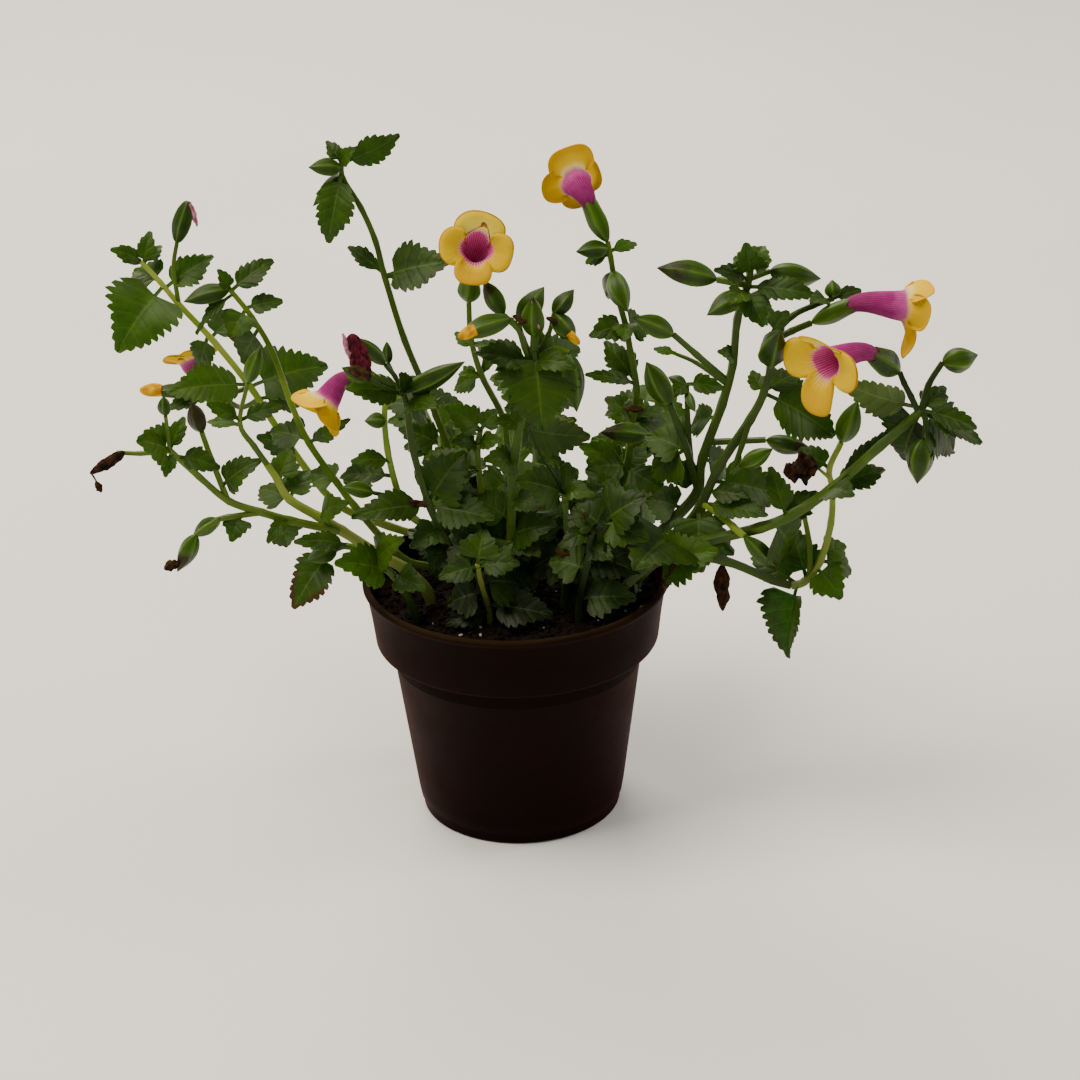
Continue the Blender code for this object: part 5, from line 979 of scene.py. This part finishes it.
# The most branched. Large buds stand out to both sides of it on arched stalks.
leafy_shoot(
    "shoot_right_top", 0.35, (29, 5), -8, (4.4, 2.6), 0.35,
    stem=[(42, 97), (57, 111), (65.5, 122), (67, 134), (74, 155), (77.6, 170), (79, 186), (82.5, 199),
        (83.5, 205)],
    twigs=[([(65.4, 122), (61.5, 138), (58.5, 147), (55.5, 155.5)], -6, (3.2, 2.6), 0.2),
        ([(63.5, 131), (62, 147), (61.5, 162.5)], 4, (2.4, 2)),
        ([(76.3, 163), (65, 173.5), (57, 181.2)], -5, (2.4, 2)),
        ([(75.8, 162), (65, 170.4), (57.8, 174)], 6, (1.7, 1.3)), ([(82, 199), (72, 201)], 4, (2.8, 2.4)),
        ([(82.5, 201), (90, 203.6)], 4, (2.2, 2)),
        ([(69, 140.5), (80, 140.6), (89.4, 140.8)], -2, (2.5, 2.2))],
    buds=[(55.5, 155, 47.4, 171.4, 9.4, -2), (57, 181, 42.8, 188, 8, -2, 0.3),
        (72, 201, 51.2, 205.8, 9.4, 2, 0.28), (79.8, 196, 68.4, 188, 8, -6),
        (90, 203.4, 107.8, 200.4, 9.4, 3), (89.4, 140.8, 105.5, 137, 7.2, -3, 0.3),
        (61.8, 160, 64.6, 152, 3.8, -4), (61.5, 162, 55, 165.6, 4.4, 4)],
    leaves=[(61.5, 162.5, 74.6, 161.2, 7, -5), (61.5, 162.5, 55.6, 158, 4.4, -5),
        (61.8, 143, 57.8, 151.7, 2.6, -4), (62, 137, 46.8, 144.4, 13.5, 9), (64.5, 126, 52, 131.5, 9, 6),
        (57.8, 174, 50, 176, 3.2, 2), (77.8, 172, 72.8, 174.9, 3.6, -5), (83, 203, 82, 213.4, 8, -5),
        (83.5, 205, 90.6, 208, 8, -5), (83.5, 205, 88, 213.4, 7, 5), (83, 202.5, 77.8, 209, 7, 6),
        (82.6, 200.5, 70.8, 204.6, 4.4, -6), (81.5, 196.5, 76, 191.8, 5, -8),
        (81.8, 197, 88.2, 184, 11, -10), (82, 198, 106.5, 194.6, 7.5, -8), (79.5, 190, 92, 187, 7, 8),
        (67, 134, 77, 128, 8, 10), (72, 150, 62, 146, 7, 9), (46, 101, 20.5, 109.5, 25, -16),
        (42.5, 97.5, 29.5, 88.5, 12, -10)],
    shade=[(61.5, 138, 49, 128, 13, 8), (60, 115, 47, 119, 12, 8), (66, 123, 57, 134, 10, 6)])

# A brownish one that bears the bloom seen from the side, and a large leaf over the lip.
leafy_shoot(
    "shoot_right_middle", 0.15, (35, -5), -26, (4.2, 2.6), 0.15,
    stem=[(46, 96), (58, 105), (66, 115), (73, 131), (84, 149), (88.4, 158.5), (90.6, 168), (91.4, 181)],
    twigs=[([(67, 117), (72, 113.5), (78, 107.5), (82, 103.6)], -16, (2.5, 2.2), 0.85),
        ([(83.5, 148.5), (81, 139), (77.5, 128)], -4, (2.5, 2)),
        ([(77.5, 128.5), (80.5, 131)], -1, (2, 1.9)),
        ([(91.2, 178), (98, 181.5), (104.6, 184.3)], 4, (2.4, 2.2)),
        ([(91.4, 180), (98, 187), (105, 190.5), (112, 193)], 12, (2.2, 1.8))],
    cup=("bloom_right", 104.6, 184.3, 117, 190, 6.8, -3),
    buds=[(82, 103.6, 94.2, 89.8, 6.8, -4, 0.2), (80.5, 131, 92, 137.4, 6.6, -3),
        (90.8, 169, 94, 182, 10, -8), (112, 193, 111.5, 200, 6, 2)],
    leaves=[(112, 193, 121.8, 196, 4.2, 3), (110, 192.2, 104.4, 192.2, 4.4, -5),
        (88.4, 158.5, 113.6, 141.4, 15, 5), (88.6, 159, 101.4, 166.6, 7.5, 9), (88.4, 158.5, 84, 167, 6, 8),
        (69, 121, 84, 118.8, 6, -9), (68, 117, 90.4, 111.4, 8, -14), (71, 125, 95.4, 118.6, 14, 10),
        (59, 106, 78.5, 96.5, 19.5, -12), (57, 104.5, 43, 93, 18, -14), (60, 107, 75, 101, 10, 8),
        (91.4, 181, 97, 189, 5.5, -6), (46, 101, 23, 112.5, 17, -20, 0, 0, 0.07, 0.16, False),
        (66, 114.5, 66.6, 89.4, 19, -16, 8, 0, 0.1)])

# The longest, light green and grooved. It ends in a dark cluster, below the lower bloom's stalk.
leafy_shoot(
    "shoot_right_far", 0, (38, -14), -40, (4, 2.8), 0.4,
    stem=[(54, 98), (66, 101.5), (88, 106.8), (100, 112), (113, 121.5), (130, 137.5), (138, 145),
        (144, 150.5)],
    twigs=[([(143, 149.5), (140, 156), (137.5, 161), (135.8, 165.2)], 4, (2.5, 2.2)),
        ([(143.6, 150.3), (146, 160), (150.6, 168.4)], 6, (2.5, 2.2)),
        ([(144, 150.5), (145.6, 146), (145, 139.5)], -5, (2.4, 2.2))],
    cup=("bloom_right_low", 135.8, 165.2, 126.6, 171.6, 9.6, -9),
    buds=[(150.6, 168.2, 163, 171, 9.2, 3), (145, 140, 143.3, 122.3, 9.8, -3, 0.3)],
    leaves=[(142.4, 152.5, 115.8, 161.4, 11.5, 12, 180), (144, 150.5, 152, 159, 7, 4),
        (144, 150.5, 137.4, 130.6, 14.5, 2, 10, 0.15), (144, 150.5, 155.5, 134.6, 14, 5, -15, 0.1),
        (144, 150.5, 163.8, 143.2, 7.2, -2), (144.4, 149.5, 165.4, 137.2, 6.2, 5),
        (114, 122.5, 135.8, 145.6, 5.4, 9), (113, 121.5, 131.8, 128.6, 9.5, 6),
        (112, 121, 120, 119.4, 7.5, -8), (96, 110, 108, 120, 9, 9), (97, 110.5, 91, 130.5, 8.5, 6)],
    shade=[(92, 109, 99, 97, 14, 10)])

# A pale one that dips over the lip and turns up again. A long leaf hangs from its bend.
leafy_shoot(
    "shoot_right_low", 0.7, (33, -25), -20.5, (3.8, 2.9), 0.35,
    stem=[(44, 90), (58, 96), (75, 94), (92, 86), (99, 83.5)],
    twigs=[
        ([(99, 83.5), (104, 85), (109.5, 93), (113, 108), (113.2, 121), (112, 129),
         (116, 139)], 4.5, (2.9, 2.2), 1), ([(106, 87.5), (105.4, 100), (103, 113)], 8, (2.4, 2)),
        ([(112.6, 125), (108.4, 129)], -3, (1.3, 1))],
    buds=[(116, 139, 121.5, 155.2, 8.8, -2)],
    leaves=[(100.6, 89, 98.2, 53.8, 15.5, -7, 40, 0.1, 0.05, 1.1), (110.4, 96.5, 118.5, 98.5, 7.5, 5),
        (108, 90.5, 117.6, 77.6, 13, -6), (109.5, 93, 121.2, 88.4, 8.5, 7), (104.4, 86, 98.5, 107.5, 13, 9),
        (103.4, 110, 96, 119, 8, 6), (112.2, 129, 101, 137, 8, 8), (101, 84, 84.5, 95.5, 10, 8)],
    shade=[(50, 93, 73, 98, 16, -7)],
    scraps=[(57, 93, 53.5, 83, 4.5, -6)])


# Back shoots
# Three lower living stems lean away from the viewer and round off the side that the photograph
# hides. They are rooted in the back half of the mix.

draw_back = random.Random(7)
for node, root, lean, height in (("shoot_back_left", (-14, 36), (-34, 80), 118),
                                 ("shoot_back_middle", (7, 35), (9, 84), 124),
                                 ("shoot_back_right", (28, 27), (50, 72), 120)):
    places = []
    for share in (0.35, 0.7, 1.0):
        x, y = (root[k] + (lean[k] - root[k]) * share for k in range(2))
        places.append(on_board(Vector((x, y, ROOT_TOP + (height - SOIL_TOP) * share ** 0.8)))[:2])
    line = stem_line(root, places, lean[1])
    end = line[-1]
    leaves = []
    for base in line[1:]:
        for side in (-1.0, 1.0):
            reach = draw_back.uniform(15.0, 20.0)
            tip_up = base[1] + draw_back.uniform(-7.0, 5.0)
            leaves.append((*base[:2], base[0] + side * reach * 0.85, tip_up, reach * 0.6,
                           draw_back.uniform(4.0, 14.0)))
    leaves += [(*end[:2], end[0] + 2.0, end[1] + 7.0, 8, 16), (*end[:2], end[0] - 3.0, end[1] - 8.0, 9, 15)]
    shade = []
    for number in range(9):
        share = 0.25 + number * 0.08
        base = [line[0][k] + (end[k] - line[0][k]) * share for k in range(2)]
        side = (-1.0, 1.0)[number % 2] * draw_back.uniform(8.0, 15.0)
        shade.append((*base, base[0] + side, base[1] + draw_back.uniform(1.0, 10.0),
                      draw_back.uniform(10.0, 13.0), draw_back.uniform(-12.0, 8.0)))
    leafy_shoot(node, 0.5, root, lean[1], (3.2, 2.2), 0.5, places, leaves=leaves, shade=shade)


# Corollas
# The petals of a bloom are one thin, soft trumpet: a purple tube that stands in the calyx, and
# a yellow limb of four round lobes, the upper one widest and palest. They face many ways.

PETAL = 0.35
CUP_DEPTH = 2.6
TUBE_FOOT_R = 1.6
LOBE_NOTCH = 6.4
OVAL_END = 128.0
TUBE_ROWS, LIMB_ROWS, AROUND = 14, 16, 120
# Each lobe is an oval: its direction and half angle at the throat in degrees, then its centre's
# distance, half length, half width and how far it lies forward, in mm.
LOBES = ((90.0, 48.0, 6.5, 6.0, 8.4, 0.0), (180.0, 42.0, 7.3, 5.1, 6.3, 0.8),
         (270.0, 48.0, 7.3, 5.2, 6.1, 2.2), (0.0, 42.0, 7.3, 5.1, 6.3, 0.8))


def petal_tissue(name, stops, pale_stops, fuzz):
    """Petal: matt velvety cells over thin wet tissue, coloured from the tube's foot to the lobes' rims."""
    made, add, shader = new_material(name, 0.7, Specular_IOR_Level=0.05, Subsurface_Weight=0.1,
                                     Subsurface_Radius=(0.0008, 0.0007, 0.0001), Subsurface_Scale=1.0)
    where = add("TexCoord").outputs["Object"]
    spot = add("Attribute", attribute_name="petal_place").outputs["Vector"]
    share, across, paleness = add("SeparateXYZ", spot).outputs
    cloud = add("TexNoise", where, 300.0, 5.0)
    shift = add("Math", cloud, 0.12, -0.06, operation="MULTIPLY_ADD")
    rim = add("MapRange", share, 0.7, 0.95, 1.0, 0.25)
    moved = add("Math", shift, rim, share, operation="MULTIPLY_ADD")
    both = add("Mix", paleness, add("ValToRGB", moved, stops=stops), add("ValToRGB", moved, stops=pale_stops),
               data_type="RGBA")
    limb = add("MapRange", share, 0.64, 0.74, 0.0, 0.75)
    gold = add("Math", add("MapRange", paleness, 0.0, -1.0), limb, operation="MULTIPLY")
    deep = add("Mix", gold, both, "#c09400", data_type="RGBA")
    lines = add("Math", add("Math", across, 30.0, operation="MULTIPLY"), operation="SINE")
    blur = add("Math", cloud, 2.2, lines, operation="MULTIPLY_ADD")
    faint = add("MapRange", blur, 1.3, 2.2, 0.0, fuzz)
    hair = add("Math", faint, add("MapRange", share, 0.66, 0.58), operation="MULTIPLY")
    final = add("Mix", hair, deep, "#e6b4d6", data_type="RGBA")
    relief = add("Math", lines, 0.25, add("TexNoise", where, 1100.0, 2.0), operation="MULTIPLY_ADD")
    feed(shader, Base_Color=final, Normal=add("Bump", 0.3, 0.0002, Height=relief))
    return made


outside_foot = [(0.0, "#5c1c30"), (0.1, "#741850"), (0.4, "#92206c"), (0.5, "#b85094")]
outside_petal = petal_tissue(
    "torenia_petal_outside", [*outside_foot, (0.58, "#dcb848"), (0.64, "#d8b000"), (1.0, "#d0a400")],
    [*outside_foot, (0.6, "#e8d480"), (0.7, "#e8c010"), (1.0, "#dcac00")], 0.12)
inside_foot = [(0.0, "#5c1030"), (0.25, "#c83078"), (0.45, "#d03c90")]
inside_petal = petal_tissue(
    "torenia_petal_inside",
    [*inside_foot, (0.52, "#b83484"), (0.56, "#d49858"), (0.6, "#d4b000"), (0.97, "#d4b000"),
     (0.99, "#a86410")],
    [*inside_foot, (0.53, "#b83484"), (0.59, "#dcb090"), (0.66, "#e8d858"), (0.96, "#e0c418"),
     (0.985, "#a86410")], 0.6)


def tube_place(start, start_way, mouth, mouth_way, share):
    """The point at a share of the bent tube that leaves along one way and ends along the other."""
    pull = (mouth - start).length
    a = 2 * share ** 3 - 3 * share ** 2 + 1
    b = share ** 3 - 2 * share ** 2 + share
    return start * a + start_way * pull * b + mouth * (1.0 - a) + mouth_way * pull * (share ** 3 - share ** 2)


def lobe_at(degrees, reach):
    """The lobe that has an angle, the place across it from -1 to 1, and its edge there in mm."""
    for number, (centre, half, away, long, wide, _) in enumerate(LOBES):
        offset = ((degrees - centre + 180.0) % 360.0 - 180.0) / half
        if abs(offset) <= 1.0001:
            break
    turn = math.radians(OVAL_END) * offset
    out = (away + long * math.copysign(abs(math.cos(turn)) ** 0.85, math.cos(turn))) * reach[number]
    along = math.radians(centre)
    swing = wide * math.copysign(abs(math.sin(turn)) ** 0.9, math.sin(turn))
    rim = Vector((out * math.cos(along) - swing * math.sin(along),
                  out * math.sin(along) + swing * math.cos(along)))
    notch = Vector((math.cos(math.radians(degrees)), math.sin(math.radians(degrees)))) * LOBE_NOTCH
    ease = max(0.0, (abs(offset) - 0.8) / 0.2) ** 2
    return number, offset, rim.lerp(notch, ease)


def corolla(bloom, mouth, facing, roll=0.0, size=1.0, mouth_r=5.2, reach=(1, 1, 1, 1), hood=(0, 0, 0, 0)):
    """A grid bent into one bloom: its rows run from the calyx to the mouth and out to the lobes' rims.

    reach and hood say how far the upper, left, lower and right lobes reach, and by how many
    degrees they lean forward.
    """
    foot, end, depth = cups[bloom]
    way = (end - foot).normalized()
    start = end - way * (CUP_DEPTH - GAP)
    straight = start + way * (CUP_DEPTH + 0.6)
    mouth = place(*mouth, depth)
    facing = Vector(facing).normalized()
    top = (Vector((0.0, 0.0, 1.0)) - facing * facing.z).normalized()
    right = top.cross(facing)
    turn = Matrix.Rotation(math.radians(roll), 3, facing)
    top, right = turn @ top, turn @ right
    shape = bmesh.new()
    petal_place = shape.verts.layers.float_vector.new("petal_place")
    rows = TUBE_ROWS + LIMB_ROWS
    grid = bmesh.ops.create_grid(shape, x_segments=AROUND, y_segments=rows, size=1.0)["verts"]
    phase = random.Random(bloom).uniform(0.0, math.tau)
    rings = {}
    side = right
    for row in range(TUBE_ROWS, -1, -1):
        if row < 3:
            spot = start + (straight - start) * row / 3.0
            along = way
        else:
            run = (row - 3) / (TUBE_ROWS - 3)
            spot, after, before = (tube_place(straight, way, mouth, facing, share)
                                   for share in (run, min(1.0, run + 0.01), max(0.0, run - 0.01)))
            along = (after - before).normalized()
        side = (side - along * side.dot(along)).normalized()
        rings[row] = (spot, side, along.cross(side))
    for vert in grid:
        row = round((vert.co.y + 1.0) / 2.0 * rows)
        degrees = vert.co.x * 180.0 + 180.0
        angle = math.radians(degrees)
        number, offset, rim = lobe_at(degrees, reach)
        if row <= TUBE_ROWS:
            share = row / TUBE_ROWS
            centre, across, upward = rings[row]
            radius = TUBE_FOOT_R + (mouth_r - TUBE_FOOT_R) * share ** 0.75 - 0.2 * math.sin(math.pi * share)
            radius *= 1.0 + 0.04 * math.cos(4.0 * angle) * share
            spot = centre + (across * math.cos(angle) + upward * math.sin(angle)) * radius
            vert[petal_place] = (share * 0.5, offset, max(0.0, math.sin(angle)) * share)
        else:
            share = (row - TUBE_ROWS) / LIMB_ROWS
            flat = Vector((math.cos(angle), math.sin(angle))) * mouth_r
            flat = flat.lerp(rim * size, share ** 1.1)
            middle = math.radians(LOBES[number][0])
            straight_out = Vector((math.cos(middle), math.sin(middle)))
            beside = hood[(number + (1 if offset > 0 else -1)) % 4]
            ease = abs(offset) ** 3 * 0.5
            lean = math.radians(hood[number] * (1.0 - ease) + beside * ease) * share ** 0.3
            beyond = max(0.0, flat.dot(straight_out) - mouth_r * math.cos(angle - middle))
            flat -= straight_out * beyond * (1.0 - math.cos(lean))
            rise = beyond * math.sin(lean) + 4.0 * share * (1.0 - 0.5 * share)
            rise += LOBES[number][5] * (1.0 - offset ** 8) * math.sin(math.pi / 2 * min(1.0, 1.4 * share))
            rise -= 0.9 * max(0.0, (share - 0.75) / 0.25) ** 2
            rise += (0.3 * math.sin(angle * 6.0 + phase) + 0.15 * math.sin(angle * 11.0)) * share ** 2
            rise -= 0.35 * math.exp(-(offset / 0.16) ** 2) * math.sin(math.pi * share)
            flat *= 1.0 + 0.015 * math.sin(angle * 9.0 + phase) * share ** 3
            spot = mouth + right * flat.x + top * flat.y + facing * rise
            vert[petal_place] = (0.5 + share * 0.5, offset, (1.0, 0.0, -1.0, 0.0)[number])
        vert.co = spot * MM
    bmesh.ops.remove_doubles(shape, verts=grid, dist=0.01 * MM)
    bmesh.ops.recalc_face_normals(shape, faces=shape.faces[:])
    inner = rings[4][0] * MM
    probe = min(shape.faces, key=lambda face: (face.calc_center_median() - inner).length)
    if probe.normal.dot(probe.calc_center_median() - inner) > 0:
        bmesh.ops.reverse_faces(shape, faces=shape.faces[:])
    raised = bmesh.ops.extrude_face_region(shape, geom=shape.faces[:])
    for vert in parts_of(raised, bmesh.types.BMVert):
        vert.co += vert.normal * PETAL * MM
    for face in parts_of(raised, bmesh.types.BMFace):
        face.material_index = 1
    piece = new_object(bloom + "_corolla", shape, [outside_petal, inside_petal])
    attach(piece, "root")
    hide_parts(bloom + "_tube", bloom + "_lobes")
    return mouth, facing, top, right


corolla("bloom_far_left", (-109.5, 175.2), (-0.25, 0.5, 0.83), size=0.9, hood=(10, 10, 10, 10))
corolla("bloom_left", (-64.0, 160.4), (-0.6, -0.35, -0.7), size=1.02, mouth_r=4.8, hood=(55, 45, 42, 50))
wishbone_place = corolla("bloom_centre", (-10.3, 214.2), (0.02, -0.93, 0.3), -11, 1.02, hood=(4, 8, 22, 8))
corolla("bloom_top", (24.4, 236.6), (-0.25, 0.93, 0.12), -14, 0.98, reach=(1.15, 0.8, 0.95, 1.0),
        hood=(5, 10, 5, 5))
corolla("bloom_right", (136, 189.8), (0.97, 0.1, -0.1), size=0.98, reach=(1.15, 1.0, 1.5, 1.0),
        hood=(72, 45, -5, 45))
corolla("bloom_right_low", (110.6, 169.6), (-0.72, -0.66, 0.05), size=1.1, reach=(1.0, 1.15, 1.3, 1.25),
        hood=(55, 18, 5, 10))


# Stamens
# Two hair-thin filaments arch out of the centre bloom's throat and meet at a pair of brown
# anthers, the wishbone that names the flower.

FILAMENT = [0.55, 0.5, 0.42, 0.36, 0.3]
ANTHER = (0.6, 0.6, 1.1, 1.0)
mouth, facing, top, right = wishbone_place
filaments = bmesh.new()
anther = place(-7.5, 222.5, (mouth + facing * 3.2).y)
for side in (-1.0, 1.0):
    route = [mouth + right * side * 3.6 - facing * 3.0 + top * 1.0, mouth + right * side * 4.3 + top * 2.2,
             mouth + right * side * 3.8 + top * 4.6 + facing * 2.2,
             anther + right * side * 1.4 - top * 0.6, anther + right * side * 0.2]
    sweep(filaments, rounded(route, FILAMENT, 6), 8, 0.0)
for side in (-1.0, 1.0):
    ball = bmesh.ops.create_uvsphere(filaments, u_segments=12, v_segments=8, radius=1.0)["verts"]
    spot = Matrix.Translation(anther + right * side * 0.45 + top * 0.3)
    turn = Matrix.Rotation(side * 0.5, 4, facing) @ Matrix.Diagonal(ANTHER)
    bmesh.ops.transform(filaments, verts=ball, matrix=Matrix.Scale(MM, 4) @ spot @ turn)
piece = new_object("wishbone_stamens", filaments, [dried_tissue("stamen_tissue", "#6b3a18", "#a8763c", 0.6)])
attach(piece, "root")
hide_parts("bloom_centre_stamens")


# Petals in bud
# Three buds are about to open or have just closed: rolled yellow petals push out of their tips.
# The soft petals are held by the calyx round their foot.


def shaped_ball(name, node, material, foot, end, width, profile, rings=22, around=28):
    """A sphere drawn out between two ends, with a radius and a place given by the profile."""
    length, axis, side, other = axes(foot, end)
    shape = bmesh.new()
    ball = bmesh.ops.create_uvsphere(shape, u_segments=around, v_segments=rings, radius=1.0)["verts"]
    for vert in ball:
        share = (1.0 + vert.co.z) / 2.0
        angle = math.atan2(vert.co.y, vert.co.x)
        reach = width * 0.5 * max(0.02, profile(share, angle))
        vert.co = (foot + axis * length * share
                   + (side * math.cos(angle) + other * math.sin(angle)) * reach) * MM
    max(ball, key=lambda v: (v.co - foot * MM).length).co = end * MM
    bmesh.ops.recalc_face_normals(shape, faces=shape.faces[:])
    piece = new_object(name, shape, [material])
    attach(piece, "root")
    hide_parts(node)


def rolled(share, angle):
    """Rolled petals: a knob with three lapped folds, wide at its foot and blunt at its end."""
    lap = abs(math.sin(1.5 * angle + 2.0 * share))
    return math.sin(math.pi * min(1.0, 0.25 + 0.75 * share)) ** 0.5 * (0.78 + 0.22 * lap)


bud_petal = dried_tissue("petal_in_bud", "#b07400", "#e0ae00", 0.6)
for node, depth, near, far, width in (("bud_tip_far_left", 44, (-121.5, 165.0), (-129.3, 165.4), 5.4),
                                      ("bud_tip_centre", -26, (-11.4, 184.8), (-17.6, 182.2), 4.6),
                                      ("bud_tip_right", -16, (21.0, 182.6), (24.4, 178.4), 3.2)):
    shaped_ball(node.replace("bud_tip", "rolled_petals"), node, bud_petal, place(*near, depth),
                place(*far, depth), width, rolled)


# Dried pieces
# Spent flowers and pods stay on the plant: crumpled, brittle and brown, or maroon where a
# corolla has shrivelled and hangs on. Each hangs from the end of a stalk.


def crumpled(seed, depth):
    """A crumpled profile: ridged noise in several folds along and round the piece."""
    def profile(share, angle):
        spot = Vector((math.cos(angle) * 1.6, math.sin(angle) * 1.6, share * 3.5 + seed))
        fold = abs(noise.noise(spot)) * 2.0 + abs(noise.noise(spot * 2.3)) * 0.7
        return math.sin(math.pi * share ** 0.85) ** 0.6 * (1.05 - depth + depth * fold)
    return profile


brown_tissue = dried_tissue("dried_brown_tissue", "#0e0603", "#402612")
maroon_tissue = dried_tissue("shrivelled_maroon_petal", "#1c0408", "#6a1a2c", 0.6)
for number, (node, slot, material, depth, near, far, width, crush) in enumerate((
        ("dried_bud_left", "dried", brown_tissue, -27, (-136.5, 142.3), (-149.4, 134.0), 4.2, 0.4),
        ("dried_corolla", "faded_corolla", maroon_tissue, -27, (-54.4, 184.5), (-49.4, 167.0), 6.4, 0.5),
        ("dried_flower_right", "dried", brown_tissue, -20, (108.0, 130.4), (95.6, 128.0), 10.0, 0.65),
        ("dried_pod_right", "dried", brown_tissue, -22, (74.2, 92.6), (74.6, 73.8), 5.2, 0.35))):
    shaped_ball(node.replace("dried", "withered"), node, material, place(*near, depth),
                place(*far, depth), width, crumpled(number * 7.0, crush), 36, 44)
